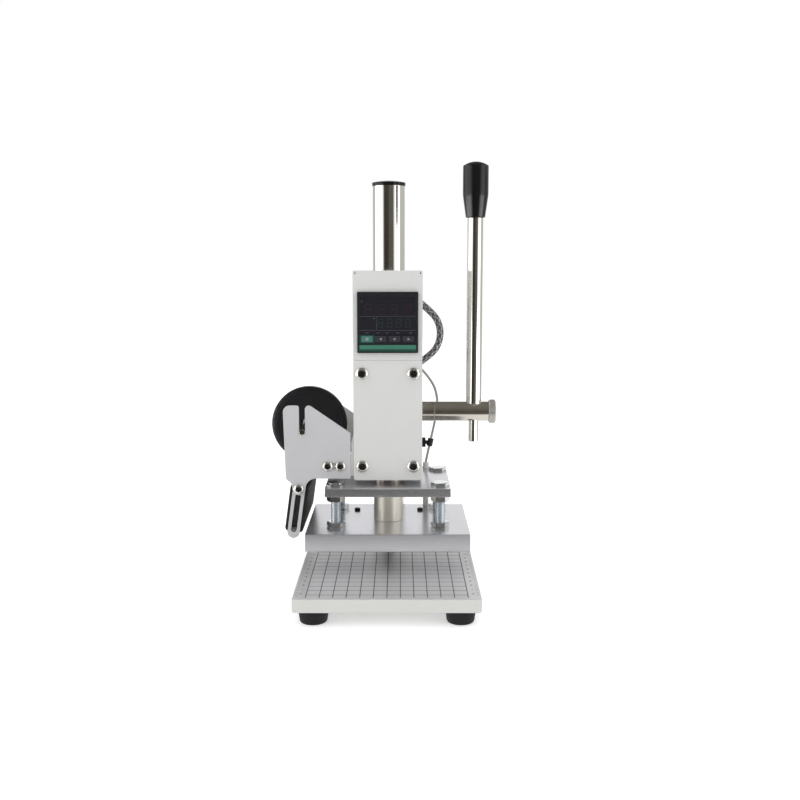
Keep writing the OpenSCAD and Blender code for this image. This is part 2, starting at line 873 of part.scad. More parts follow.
module left_bush() {
    color("Peru") shaft_bush(-head_w / 2, -head_w / 2 + chamber_side);
}

module ram() {
    tip_y = rack_pitch_y + rack_addendum;
    root_y = rack_pitch_y - dedendum;
    tip_half = rack_pitch / 4 + (tip_y + over - rack_pitch_y) * tan(pressure_angle);
    root_half = rack_pitch / 4 - dedendum * tan(pressure_angle);
    color("Silver")
    difference() {
        translate([0, 0, upper_top]) cylinder(d = ram_d, h = ram_top - upper_top);
        translate([0, 0, upper_top - over])
            cylinder(r = ram_bolt_d / 2 + fit_gap, h = ram_bolt_thread + 2 * over);
        translate([-ram_d / 2, tip_y, shaft_z - rack_flat_below])
            cube([ram_d, ram_d, rack_flat_below + rack_flat_above]);
        for (k = [-rack_below : rack_above])
            translate([-ram_d / 2, 0, shaft_z + k * rack_pitch]) rotate([90, 0, 90]) linear_extrude(ram_d)
                polygon([
                    [root_y, -root_half],
                    [tip_y + over, -tip_half],
                    [tip_y + over, tip_half],
                    [root_y, root_half]
                ]);
    }
}

module ram_bolt() {
    color("DimGray")
    translate([0, 0, upper_z]) mirror([0, 0, 1])
        socket_screw(ram_bolt_d, ram_bolt_head_d, ram_bolt_head_h, ram_bolt_l);
}

module pillar() {
    color("Silver")
    translate([0, 0, heat_top]) difference() {
        cylinder(d = pillar_d, h = pillar_h);
        translate([0, 0, -over]) cylinder(r = ram_bolt_head_d / 2 + air_gap, h = pillar_h + 2 * over);
    }
}

module upper_plate() {
    color("LightGray")
    difference() {
        translate([0, upper_back, upper_z]) linear_extrude(upper_t) rounded_square(upper_w, upper_d, plate_r);
        translate([0, 0, upper_z - over]) cylinder(r = ram_bolt_d / 2 + fit_gap, h = upper_t + 2 * over);
        each_bolt() translate([0, 0, upper_z - over])
            cylinder(r = bolt_d / 2 + fit_gap, h = upper_t + 2 * over);
        translate([lead_end[0], lead_y, upper_z - over])
            cylinder(r = lead_sleeve_d / 2 + sleeve_room, h = upper_t + 2 * over);
    }
}

module plate_bolts() {
    color("LightSteelBlue")
    each_bolt() {
        translate([0, 0, upper_top]) hex_prism(bolt_across, bolt_head_h);
        translate([0, 0, heat_top - bolt_thread + fit_gap])
            cylinder(d = bolt_d, h = upper_top - heat_top + bolt_thread - fit_gap);
    }
}

module plate_nuts() {
    color("LightSteelBlue")
    each_bolt() {
        translate([0, 0, heat_top]) hex_nut(bolt_d, bolt_across, thin_nut_h);
        translate([0, 0, upper_z - bolt_nut_h]) hex_nut(bolt_d, bolt_across, bolt_nut_h);
    }
}

module heating_plate() {
    color("LightGray")
    difference() {
        translate([0, 0, heat_z]) linear_extrude(heat_t) rounded_square(heat_w, heat_d, plate_r);
        each_bolt() translate([0, 0, heat_top - bolt_thread])
            cylinder(r = bolt_d / 2 + fit_gap, h = bolt_thread + over);
        for (x = [-heater_x, heater_x])
            translate([x, heat_d / 2 + over, heat_z + heat_t / 2]) rotate([90, 0, 0])
                cylinder(r = heater_d / 2 + fit_gap, h = heater_l + over);
        for (x = [-heater_screw_x, heater_screw_x])
            translate([x, heater_screw_y, heat_top - heater_screw_l])
                cylinder(r = heater_screw_d / 2 + fit_gap, h = heater_screw_l + over);
        translate([lead_end[0], lead_y, heat_top - probe_l])
            cylinder(r = probe_d / 2 + fit_gap, h = probe_l + over);
    }
}

module heaters() {
    color("SlateGray")
    for (x = [-heater_x, heater_x])
        translate([x, heat_d / 2, heat_z + heat_t / 2]) rotate([90, 0, 0])
            cylinder(d = heater_d, h = heater_l - fit_gap);
}

module heater_screws() {
    color("Black")
    for (x = [-heater_screw_x, heater_screw_x])
        translate([x, heater_screw_y, heat_top])
            socket_screw(heater_screw_d, heater_screw_head_d, heater_screw_head_h, heater_screw_l - fit_gap);
}

module temperature_probe() {
    color("SlateGray")
    translate([lead_end[0], lead_y, heat_top - probe_l + fit_gap])
        cylinder(d = probe_d, h = probe_l - fit_gap);
}

module lead_sleeve() {
    color("Ivory")
    translate([lead_end[0], lead_y, heat_top])
        cylinder(d = lead_sleeve_d, h = lead_end[1] - air_gap - heat_top);
}

module heater_lead() {
    color("Gray") tube(flat_rings(lead_route, lead_y, lead_d, lead_sides));
}

module lead_clip() {
    neck_l = clip_x - head_w / 2 - clip_foot_t;
    lean = atan2(clip_run[0], clip_run[1]);
    color("Black")
    translate([0, lead_y, clip_z]) difference() {
        union() {
            translate([head_w / 2, -clip_ring_d / 2, -clip_foot_h / 2])
                cube([clip_foot_t, clip_ring_d, clip_foot_h]);
            translate([head_w / 2, -clip_neck_w / 2, -clip_neck_h / 2])
                cube([clip_foot_t + neck_l, clip_neck_w, clip_neck_h]);
            translate([clip_x, 0, 0]) rotate([0, lean, 0])
                cylinder(d = clip_ring_d, h = clip_h, center = true);
        }
        translate([clip_x, 0, 0]) rotate([0, lean, 0])
            cylinder(r = lead_d / 2 + air_gap, h = 2 * clip_h, center = true);
    }
}

module lever_shaft() {
    color("Silver")
    difference() {
        union() {
            on_shaft(left_end) cylinder(d = shaft_d, h = hub_start - left_end);
            on_shaft(hub_start) cylinder(d = hub_d, h = hub_l);
        }
        translate([rod_x, shaft_y, shaft_z - hub_d]) cylinder(r = rod_pin_d / 2 + fit_gap, h = 2 * hub_d);
        translate([rod_x, shaft_y, shaft_z + rod_seat]) cylinder(r = rod_d / 2 + air_gap, h = hub_d);
        on_shaft(hub_end - cap_stem_l) cylinder(r = cap_stem_d / 2 + fit_gap, h = cap_stem_l + over);
        translate([0, shaft_y, shaft_z + shaft_d / 2]) key_block(fit_gap, shaft_d);
    }
}

// The key's own block, or its seat when grown by a clearance and raised
module key_block(gap, rise) {
    side = key_side + 2 * gap;
    length = pinion_key_l + 2 * gap;
    translate([-length / 2, -side / 2, -key_depth - gap]) cube([length, side, key_side + gap + rise]);
}

module pinion_key() {
    color("DimGray") translate([0, shaft_y, shaft_z + shaft_d / 2]) key_block(0, 0);
}

module pinion() {
    color("DarkGray")
    difference() {
        translate([-pinion_w / 2, shaft_y, shaft_z]) rotate([90, 0, 90])
            linear_extrude(pinion_w) polygon(pinion_points);
        on_shaft(-pinion_w) cylinder(r = shaft_d / 2 + fit_gap, h = 2 * pinion_w);
        translate([0, shaft_y, shaft_z + shaft_d / 2]) key_block(fit_gap, fit_gap);
    }
}

module return_spring() {
    color("Gray") tube(spring_ring_list);
}

module lever_rod() {
    color("Silver")
    translate([rod_x, shaft_y, shaft_z]) {
        translate([0, 0, rod_seat]) cylinder(d = rod_d, h = rod_l - rod_seat);
        translate([0, 0, -rod_pin_l]) cylinder(d = rod_pin_d, h = rod_pin_l + rod_seat);
        cylinder(d = knob_spigot_d, h = rod_l + knob_spigot_l);
    }
}

module lever_knob() {
    dome_h = 3.4;
    color("Black")
    translate([rod_x, shaft_y, shaft_z + rod_l]) difference() {
        union() {
            cylinder(d1 = knob_neck_d, d2 = knob_d, h = knob_taper_h);
            translate([0, 0, knob_taper_h]) cylinder(d = knob_d, h = knob_h - dome_h - knob_taper_h);
            translate([0, 0, knob_h - dome_h]) dome(knob_d, dome_h);
        }
        translate([0, 0, -over])
            cylinder(r = knob_spigot_d / 2 + fit_gap, h = knob_spigot_l + over + fit_gap);
    }
}

module end_cap() {
    color("Silver") {
        on_shaft(hub_end) cylinder(d = end_cap_d, h = end_cap_l);
        on_shaft(hub_end - cap_stem_l + fit_gap) cylinder(d = cap_stem_d, h = cap_stem_l);
    }
}

module box_shell() {
    shell_d = box_d - box_sheet;
    inner_w = head_w - 2 * box_sheet;
    color("WhiteSmoke")
    difference() {
        translate([-head_w / 2, cover_front, head_top]) cube([head_w, shell_d, box_h]);
        translate([-inner_w / 2, cover_front + box_sheet, head_top - over])
            cube([inner_w, shell_d, box_h - box_sheet + over]);
        translate([-panel_hole / 2, cover_front - over, controller_z - panel_hole / 2])
            cube([panel_hole, box_sheet + 2 * over, panel_hole]);
        for (x = [-1, 1])
            translate([x * (head_w / 2 - notch_w / 2) - notch_w / 2, cover_front - over, box_top - notch_h])
                cube([notch_w, box_sheet + over, notch_h + over]);
        each_side_screw() translate([0, 0, -box_sheet - over])
            cylinder(r = side_screw_d / 2 + fit_gap, h = box_sheet + 2 * over);
        cable_start_bore();
    }
}

// Slanted hole in the box's side for the upper end of the sleeved cable
module cable_start_bore() {
    run = cable_route[1] - cable_route[0];
    translate([cable_route[0][0], cable_y, cable_route[0][1]]) rotate([0, atan2(run[0], run[1]), 0])
        translate([0, 0, -air_gap]) cylinder(r = cable_d / 2 + air_gap, h = 2 * cable_bore_l);
}

// Places its children at each side screw of the box, with -Z into the box
module each_side_screw() {
    for (x = [-1, 1], z = side_screw_zs)
        translate([x * head_w / 2, side_screw_y, z]) rotate([0, x * 90, 0]) children();
}

module box_base() {
    inner_w = head_w - 2 * box_sheet - 2 * fit_gap;
    color("LightGray")
    difference() {
        union() {
            translate([-inner_w / 2, cover_front + box_sheet + fit_gap, head_top])
                cube([inner_w, box_d - box_sheet - fit_gap, box_sheet]);
            translate([-head_w / 2, box_back - box_sheet, head_top]) cube([head_w, box_sheet, box_h]);
            for (x = [-inner_w / 2, inner_w / 2 - box_sheet])
                translate([x, box_back - box_sheet - flange_w, head_top])
                    cube([box_sheet, flange_w + box_sheet / 2, box_h - box_sheet - fit_gap]);
        }
        each_side_screw() translate([0, 0, -side_screw_l])
            cylinder(r = side_screw_d / 2 + fit_gap, h = side_screw_l + over);
        translate([gland_x, box_back + over, gland_z]) rotate([90, 0, 0])
            cylinder(r = gland_thread_d / 2 + fit_gap, h = box_sheet + 2 * over);
        translate([switch_x - switch_w / 2 + switch_flange, box_back - box_sheet - over,
            switch_z - switch_h / 2 + switch_flange])
            cube([switch_w - 2 * switch_flange, box_sheet + 2 * over, switch_h - 2 * switch_flange]);
    }
}

module box_screws() {
    color("Silver")
    each_side_screw() button_screw(side_screw_d, side_screw_l);
}

// Centre of key number i, from the left
function key_x(i) = (i - 1.5) * key_pitch;

// One key's block, or its pocket when grown by a clearance
module key_block_front(i, gap, depth) {
    translate([key_x(i) - key_w / 2 - gap, bezel_front - key_proud, key_z - key_h / 2 - gap])
        cube([key_w + 2 * gap, depth, key_h + 2 * gap]);
}

module controller() {
    color([0.12, 0.12, 0.13])
    difference() {
        union() {
            upright(bezel_front, bezel_t) translate([0, controller_z]) rounded_square(bezel, bezel, bezel_r);
            translate([-case_side / 2, cover_front, controller_z - case_side / 2])
                cube([case_side, case_d, case_side]);
        }
        translate([-window_w / 2 - fit_gap, bezel_front - over, window_z - window_h / 2 - fit_gap])
            cube([window_w + 2 * fit_gap, window_t + over, window_h + 2 * fit_gap]);
        for (i = [0 : 3])
            key_block_front(i, fit_gap, key_t + key_travel + fit_gap);
    }
}

module controller_window() {
    color([0.16, 0.16, 0.18])
    translate([-window_w / 2, bezel_front, window_z - window_h / 2]) cube([window_w, window_t, window_h]);
}

module set_key() {
    color("SeaGreen") key_block_front(0, 0, key_t);
}

module shift_key() {
    color("DarkSlateGray") key_block_front(1, 0, key_t);
}

module down_key() {
    color("DarkSlateGray") key_block_front(2, 0, key_t);
}

module up_key() {
    color("DarkSlateGray") key_block_front(3, 0, key_t);
}

module sleeved_cable() {
    color("DimGray") tube(flat_rings(cable_route, cable_y, cable_d, cable_sides));
}

module cord_gland() {
    tail = box_sheet + gland_tail;
    color("Black")
    translate([gland_x, box_back, gland_z]) rotate([-90, 0, 0]) difference() {
        union() {
            hex_prism(gland_af, gland_hex_h);
            cylinder(d1 = gland_af, d2 = gland_mouth_d, h = gland_l);
            translate([0, 0, -tail]) cylinder(d = gland_thread_d, h = tail + over);
        }
        translate([0, 0, -tail - over]) cylinder(d = gland_bore_d, h = tail + gland_l + 2 * over);
    }
}

module switch_body() {
    inner_w = switch_w - 2 * switch_flange - 2 * fit_gap;
    inner_h = switch_h - 2 * switch_flange - 2 * fit_gap;
    well_w = rocker_w + 2 * air_gap;
    color("Black")
    difference() {
        union() {
            translate([switch_x - switch_w / 2, box_back, switch_z - switch_h / 2])
                cube([switch_w, switch_flange, switch_h]);
            translate([switch_x - inner_w / 2, box_back - switch_d, switch_z - inner_h / 2])
                cube([inner_w, switch_d, inner_h]);
        }
        translate([switch_x - well_w / 2, rocker_y, switch_z]) {
            rotate([0, 90, 0]) cylinder(r = rocker_half + air_gap, h = well_w);
            translate([0, 0, -rocker_swing - air_gap])
                cube([well_w, rocker_sink + over, 2 * rocker_swing + 2 * air_gap]);
        }
        translate([switch_x - switch_w, rocker_y, switch_z]) rotate([0, 90, 0])
            cylinder(r = rocker_pin_d / 2 + run_gap, h = 2 * switch_w);
    }
}

// The rocker, with its upper half pressed in
module switch_rocker() {
    tip = rocker_rise + rocker_half * tan(rocker_slope);
    pin_l = rocker_w + 2 * rocker_pin_out;
    color("DimGray")
    translate([switch_x, rocker_y, switch_z]) rotate([rocker_slope, 0, 0]) {
        translate([-rocker_w / 2, 0, 0]) rotate([90, 0, 90]) linear_extrude(rocker_w) {
            circle(rocker_half);
            polygon([
                [0, -rocker_half], [tip, -rocker_half], [rocker_rise, 0], [tip, rocker_half], [0, rocker_half]
            ]);
        }
        translate([-pin_l / 2, 0, 0]) rotate([0, 90, 0]) cylinder(d = rocker_pin_d, h = pin_l);
    }
}

module foil_mount() {
    front = foil_back_front;
    screw_hole = foil_screw_d / 2 + fit_gap;
    color("Gainsboro")
    difference() {
        union() {
            translate([mount_web, front, web_z]) cube([foil_sheet, foil_space, web_h]);
            for (y = [front, foil_rear - foil_sheet])
                translate([mount_web - flange_l, y, web_z])
                    cube([flange_l + foil_sheet, foil_sheet, flange_h]);
        }
        for (x = foil_screw_xs)
            translate([x, foil_rear + over, foil_screw_z]) rotate([90, 0, 0])
                cylinder(r = screw_hole, h = foil_space + 2 * over);
        for (y = mount_screw_ys)
            translate([mount_web - over, front + y, mount_screw_z]) rotate([0, 90, 0])
                cylinder(r = mount_screw_d / 2 + fit_gap, h = foil_sheet + 2 * over);
    }
}

module mount_screws() {
    color("Silver")
    for (y = mount_screw_ys)
        translate([mount_web, foil_back_front + y, mount_screw_z]) rotate([0, -90, 0])
            button_screw(mount_screw_d, foil_sheet + chamber_side - fit_gap);
}

// Outline of a foil plate in X and Z, from its lower right corner round to the left
foil_outline = concat(
    [[plate_right, plate_bottom], [plate_right, plate_side_z]],
    arc(reel_shaft_x + reel_slot_r + ear_r, plate_top - ear_r, ear_r, ear_turn, 180),
    arc(reel_shaft_x, reel_shaft_z, reel_slot_r, 0, -180),
    arc(reel_shaft_x - reel_slot_r - mouth_r, plate_top - mouth_r, mouth_r, 0, 90),
    arc(plate_left + corner_r, plate_top - corner_r, corner_r, 90, 180),
    arc(plate_left + plate_lean + shoulder_r, shoulder_z, shoulder_r, 180, 180 + shoulder_turn),
    arc(pivot_x - lobe_r - neck_r, neck_z, neck_r, shoulder_turn, 0),
    arc(pivot_x, pivot_z, lobe_r, 180, 360),
    arc(pivot_x + lobe_r + fillet_r, pivot_z, fillet_r, 180, 90)
);

// A foil plate from Y = y back, with its slot for the two fixing screws and the pivot's hole
module foil_plate(y) {
    upright(y, foil_sheet) difference() {
        polygon(foil_outline);
        translate([0, foil_screw_z])
            round_slot(foil_screw_xs[0], foil_screw_xs[1], foil_screw_d / 2 + fit_gap);
        translate([pivot_x, pivot_z]) circle(pivot_d / 2 + fit_gap);
    }
}

module front_foil_plate() {
    color("Gainsboro") foil_plate(foil_front);
}

module rear_foil_plate() {
    color("Gainsboro") foil_plate(foil_rear);
}

module foil_plate_screws() {
    length = 2 * foil_sheet + 3;
    color("Silver")
    for (x = foil_screw_xs) {
        translate([x, foil_front, foil_screw_z]) rotate([90, 0, 0]) button_screw(foil_screw_d, length);
        translate([x, foil_rear + foil_sheet, foil_screw_z]) rotate([-90, 0, 0])
            button_screw(foil_screw_d, length);
    }
}

module reel_shaft() {
    overhang = 1.5;
    color("Silver")
    translate([reel_shaft_x, foil_front - overhang, reel_shaft_z]) rotate([-90, 0, 0])
        cylinder(d = reel_shaft_d, h = foil_space + 2 * foil_sheet + 2 * overhang);
}

module reel_disc() {
    face_r = reel_d / 2 - reel_bevel_w;
    color("Black")
    translate([reel_shaft_x, reel_y, reel_z]) rotate([-90, 0, 0]) rotate_extrude()
        polygon([
            [reel_bore_d / 2, 0], [face_r, 0], [reel_d / 2, reel_bevel_t],
            [reel_d / 2, reel_t], [reel_bore_d / 2, reel_t]
        ]);
}

module guide_channel() {
    bend_r = guide_wall + 1;
    inner_w = guide_w - 2 * guide_wall;
    length = link_rear - link_front - 2 * foil_sheet;
    color("Silver")
    on_pivot() upright(link_front + foil_sheet, length) difference() {
        translate([0, -guide_h / 2]) rounded_square(guide_w, guide_h, bend_r);
        translate([-inner_w / 2, -guide_h + guide_wall]) square([inner_w, guide_h]);
        translate([-guide_w, -bend_r]) square([2 * guide_w, 2 * bend_r]);
    }
    color("Silver")
    on_pivot() upright(link_front + foil_sheet, length)
        for (x = [-guide_w / 2, inner_w / 2])
            translate([x, -bend_r]) square([guide_wall, bend_r]);
    color("Silver")
    on_pivot() for (y = [link_front + foil_sheet, link_rear - foil_sheet - guide_wall])
        upright(y, guide_wall) translate([-(inner_w + guide_wall) / 2, -guide_h + guide_wall / 2])
            square([inner_w + guide_wall, guide_h - guide_wall / 2 - guide_end_drop]);
}

module guide_links() {
    color("Gainsboro")
    on_pivot() for (y = [link_front, link_rear - foil_sheet])
        upright(y, foil_sheet) difference() {
            rotate(90) round_slot(-link_end, 0, link_w / 2);
            rotate(90) round_slot(-link_slot_end, -link_slot_top, link_slot_w / 2);
            circle(pivot_d / 2 + run_gap);
        }
}

// Places its children at the front and rear pivots, with +Z out of the holder
module each_pivot() {
    translate([pivot_x, foil_front, pivot_z]) rotate([90, 0, 0]) children();
    translate([pivot_x, foil_rear + foil_sheet, pivot_z]) rotate([-90, 0, 0]) children();
}

module pivot_screws() {
    color("Silver") each_pivot() button_screw(pivot_d, pivot_nut_depth + nut_h + pivot_tail);
}

module pivot_nuts() {
    color("Silver") each_pivot() translate([0, 0, -pivot_nut_depth - nut_h]) hex_nut(pivot_d, nut_af, nut_h);
}

base_plate();
feet();
foot_screws();
column();
column_bolt();
column_cap();
head_body();
front_cover();
cover_screws();
clamp_screws();
lower_bush();
upper_bush();
shaft_sleeve();
left_bush();
ram();
ram_bolt();
pillar();
upper_plate();
plate_bolts();
plate_nuts();
heating_plate();
heaters();
heater_screws();
temperature_probe();
lead_sleeve();
heater_lead();
lead_clip();
lever_shaft();
pinion();
pinion_key();
return_spring();
lever_rod();
lever_knob();
end_cap();
box_shell();
box_base();
box_screws();
controller();
controller_window();
set_key();
shift_key();
down_key();
up_key();
sleeved_cable();
cord_gland();
switch_body();
switch_rocker();
foil_mount();
mount_screws();
front_foil_plate();
rear_foil_plate();
foil_plate_screws();
reel_shaft();
reel_disc();
guide_channel();
guide_links();
pivot_screws();
pivot_nuts();
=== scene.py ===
import bpy
import math
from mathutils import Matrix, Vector


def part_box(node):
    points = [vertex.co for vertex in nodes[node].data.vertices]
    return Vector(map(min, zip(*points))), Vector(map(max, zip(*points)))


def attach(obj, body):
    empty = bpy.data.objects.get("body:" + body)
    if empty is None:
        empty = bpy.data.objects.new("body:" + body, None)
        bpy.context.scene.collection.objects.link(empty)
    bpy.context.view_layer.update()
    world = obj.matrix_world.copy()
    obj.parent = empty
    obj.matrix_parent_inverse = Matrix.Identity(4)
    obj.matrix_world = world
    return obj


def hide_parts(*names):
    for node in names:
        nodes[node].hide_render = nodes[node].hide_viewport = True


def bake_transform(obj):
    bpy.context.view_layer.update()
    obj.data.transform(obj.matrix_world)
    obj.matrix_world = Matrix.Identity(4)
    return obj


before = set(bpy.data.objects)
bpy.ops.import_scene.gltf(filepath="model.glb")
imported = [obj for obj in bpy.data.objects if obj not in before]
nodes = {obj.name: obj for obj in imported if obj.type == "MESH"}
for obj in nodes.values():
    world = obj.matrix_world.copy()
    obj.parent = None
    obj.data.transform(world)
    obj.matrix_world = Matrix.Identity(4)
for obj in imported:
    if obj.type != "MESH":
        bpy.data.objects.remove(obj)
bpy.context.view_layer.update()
mm = 0.001
print("frame loaded with", len(nodes), "nodes")

# camera at the photograph's place, in mm and degrees
cameraSetup = {"place": (9.7, -784.2, 238.9), "tilt": 82.32, "lens": 43.37, "sensor": 36.0}


def pickNone():
    bpy.ops.object.select_all(action="DESELECT")


def addCamera(setup):
    pickNone()
    spot = [value * mm for value in setup["place"]]
    bpy.ops.object.camera_add(location=spot, rotation=(math.radians(setup["tilt"]), 0, 0))
    camera = bpy.context.object
    camera.data.lens = setup["lens"]
    camera.data.sensor_width = setup["sensor"]
    bpy.context.scene.camera = camera


addCamera(cameraSetup)
print("camera placed")


# small helpers: picking, editing, placing
def pickOnly(piece):
    pickNone()
    piece.select_set(True)
    bpy.context.view_layer.objects.active = piece


def openFaces(piece, test):
    pickOnly(piece)
    bpy.ops.object.mode_set(mode="EDIT")
    bpy.ops.mesh.select_mode(type="FACE")
    bpy.ops.mesh.select_all(action="DESELECT")
    bpy.ops.object.mode_set(mode="OBJECT")
    for face in piece.data.polygons:
        face.select = test(face)
    bpy.ops.object.mode_set(mode="EDIT")


def openAll(piece):
    openFaces(piece, lambda face: True)


def closeEdit():
    bpy.ops.object.mode_set(mode="OBJECT")


def smoothBy(piece, degrees):
    # smooth shading, with edges sharper than that angle kept
    pickOnly(piece)
    bpy.ops.object.shade_smooth_by_angle(angle=math.radians(degrees))


def turnOutwards(piece):
    openAll(piece)
    bpy.ops.mesh.normals_make_consistent(inside=False)
    closeEdit()


def applyModifiers(piece):
    pickOnly(piece)
    for modifier in list(piece.modifiers):
        bpy.ops.object.modifier_apply(modifier=modifier.name)


def softenEdges(piece, width, segments=2, fromAngle=35):
    bevel = piece.modifiers.new("softEdge", "BEVEL")
    bevel.width = width * mm
    bevel.segments = segments
    bevel.limit_method = "ANGLE"
    bevel.angle_limit = math.radians(fromAngle)
    bevel.use_clamp_overlap = False
    applyModifiers(piece)
    smoothBy(piece, 30)
    piece.modifiers.new("evenShade", "WEIGHTED_NORMAL").keep_sharp = True
    applyModifiers(piece)


def place(piece, spot, turn=(0, 0, 0)):
    piece.location = [value * mm for value in spot]
    piece.rotation_euler = [math.radians(angle) for angle in turn]
    pickOnly(piece)
    bpy.ops.object.transform_apply(location=True, rotation=True, scale=True)


def copied(piece):
    twin = bpy.data.objects.new(piece.name, piece.data.copy())
    bpy.context.scene.collection.objects.link(twin)
    return twin


def spread(piece, spots):
    # one copy at each (place, turn), joined, and the model piece removed
    twins = []
    for spot, turn in spots:
        twin = copied(piece)
        place(twin, spot, turn)
        twins.append(twin)
    bpy.data.objects.remove(piece)
    return joined(twins)


def joined(pieces):
    pickOnly(pieces[0])
    for piece in pieces[1:]:
        piece.select_set(True)
    bpy.ops.object.join()
    return bpy.context.object


def cutWith(piece, tool, operation):
    cut = piece.modifiers.new("cut", "BOOLEAN")
    cut.object = tool
    cut.operation = operation
    cut.solver = "EXACT"
    applyModifiers(piece)
    bpy.data.objects.remove(tool)


def seat(piece, name, finish, body, slot, *replaced):
    # name, finish and CAD body of a finished piece
    piece.name = name
    piece.data.name = name
    if finish:
        piece.data.materials.clear()
        piece.data.materials.append(finish)
    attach(piece, body)
    if replaced:
        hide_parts(*replaced)
    return piece


def midOf(node):
    low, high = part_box(node)
    return [(a + b) / 2 / mm for a, b in zip(low, high)]


def turned(rings, facets=64):
    # a lathe-turned piece about Z: a disc is extruded and scaled from ring to ring, (radius, height) in mm
    radius, height = rings[0]
    pickNone()
    bpy.ops.mesh.primitive_circle_add(vertices=facets, radius=radius * mm, fill_type="NGON")
    piece = bpy.context.object
    bpy.ops.object.mode_set(mode="EDIT")
    bpy.ops.mesh.select_all(action="SELECT")
    bpy.ops.transform.translate(value=(0, 0, height * mm))
    for nextRadius, nextHeight in rings[1:]:
        rise = (0, 0, (nextHeight - height) * mm)
        bpy.ops.mesh.extrude_region_move(TRANSFORM_OT_translate={"value": rise})
        grow = nextRadius / radius
        middle = (0, 0, nextHeight * mm)
        bpy.ops.transform.resize(value=(grow, grow, 1), center_override=middle)
        radius, height = nextRadius, nextHeight
    closeEdit()
    turnOutwards(piece)
    return piece


def block(size, spot):
    # a box of that size in mm, about its middle
    pickNone()
    bpy.ops.mesh.primitive_cube_add(size=mm, location=[value * mm for value in spot])
    piece = bpy.context.object
    piece.scale = size
    bpy.ops.object.transform_apply(location=True, rotation=True, scale=True)
    return piece


# materials: colours in sRGB hex, sizes in mm; grain finer than about 0.25 mm is drawn that coarse, to show
def linear(hexText):
    found = []
    for i in (1, 3, 5):
        value = int(hexText[i:i + 2], 16) / 255
        found.append(value / 12.92 if value <= 0.04045 else ((value + 0.055) / 1.055) ** 2.4)
    return (*found, 1.0)


def addNode(tree, kind, inputs=None, **settings):
    node = tree.nodes.new(kind)
    for name, value in settings.items():
        setattr(node, name, value)
    for socket, value in (inputs or {}).items():
        if isinstance(value, bpy.types.NodeSocket):
            tree.links.new(value, node.inputs[socket])
        else:
            node.inputs[socket].default_value = value
    return node


def makeFinish(name, look):
    # base colour drifts in patches, fine grain sets roughness and relief, stretch draws grain out into lines;
    # 0, 6 and 7 are the Mix node's share and colours
    material = bpy.data.materials.new(name)
    material.use_nodes = True
    tree = material.node_tree
    shader = tree.nodes["Principled BSDF"]
    coords = addNode(tree, "ShaderNodeTexCoord").outputs["Object"]
    patch = addNode(
        tree, "ShaderNodeTexNoise", {"Vector": coords, "Scale": 1 / (look["patch"] * mm), "Detail": 3.0})
    colour = addNode(
        tree, "ShaderNodeMix",
        {0: patch.outputs["Fac"], 6: linear(look["dark"]), 7: linear(look["light"])}, data_type="RGBA",
    )
    drawn = addNode(tree, "ShaderNodeMapping", {"Vector": coords, "Scale": look.get("stretch", (1, 1, 1))})
    grain = addNode(
        tree, "ShaderNodeTexNoise",
        {"Vector": drawn.outputs[0], "Scale": 1 / (look["grain"] * mm), "Detail": 4.0, "Roughness": 0.6},
    )
    low, high = look["rough"]
    rough = addNode(  # the noise stays mostly between 0.3 and 0.7
        tree, "ShaderNodeMapRange",
        {"Value": grain.outputs["Fac"], "From Min": 0.3, "From Max": 0.7, "To Min": low, "To Max": high},
    )
    tree.links.new(colour.outputs[2], shader.inputs["Base Color"])
    tree.links.new(rough.outputs["Result"], shader.inputs["Roughness"])
    if "depth" in look:
        relief = addNode(
            tree, "ShaderNodeBump",
            {"Height": grain.outputs["Fac"], "Strength": look.get("relief", 0.2),
             "Distance": look["depth"] * mm},
        )
        tree.links.new(relief.outputs["Normal"], shader.inputs["Normal"])
    shader.inputs["Metallic"].default_value = look.get("metal", 0.0)
    if not look.get("metal"):
        shader.inputs["IOR"].default_value = look.get("ior", 1.5)
    return material


def makeInk(name, light, dark, patch, grain, rough):
    return makeFinish(name, {"light": light, "dark": dark, "patch": patch, "grain": grain, "rough": rough})


# polyester powder coat on steel: soft gloss with a faint orange peel
whitePaint = makeFinish("whitePowderCoat", {
    "light": "#DADAD8", "dark": "#D4D4D2", "patch": 24, "grain": 0.9, "rough": (0.34, 0.44), "depth": 0.05,
    "relief": 0.1,
})
# sand-cast aluminium under the same paint: a little rougher
castPaint = makeFinish("paintedCasting", {
    "light": "#DADAD7", "dark": "#D0D0CD", "patch": 14, "grain": 1.6, "rough": (0.42, 0.56), "depth": 0.12,
    "relief": 0.2,
})
# painted shade: white paint of the foil holder's sheets, darkened to a light grey
shadedWhiteSheetPaint = makeFinish("whitePaintWithPaintedShade", {
    "light": "#C6C6C8", "dark": "#C0C0C2", "patch": 20, "grain": 0.8, "rough": (0.34, 0.44), "depth": 0.04,
    "relief": 0.1,
})
# silver-white lacquer on the base plate's edge
edgePaint = makeFinish("silverWhiteLacquer", {
    "light": "#DADAD6", "dark": "#D2D2CE", "patch": 30, "grain": 0.7, "rough": (0.30, 0.40), "depth": 0.04,
    "relief": 0.1,
})
# satin silver film on the base plate's top: half of it mirrors softly
baseFilm = makeFinish("satinSilverFilm", {
    "light": "#DEDEDE", "dark": "#D6D6D7", "patch": 18, "grain": 0.6, "rough": (0.28, 0.34), "metal": 0.4,
})
# milled and polished aluminium: fine lines along X
plateAluminium = makeFinish("polishedAluminiumPlate", {
    "light": "#E8E8EC", "dark": "#DDDDE3", "patch": 20, "grain": 0.5, "stretch": (0.015, 1, 1),
    "rough": (0.20, 0.28), "metal": 0.9,
})
# hard chrome on a ground tube: a mirror
chrome = makeFinish("hardChrome", {
    "light": "#F2F0EB", "dark": "#E8E5DF", "patch": 12, "grain": 0.4, "rough": (0.07, 0.11), "metal": 1.0,
})
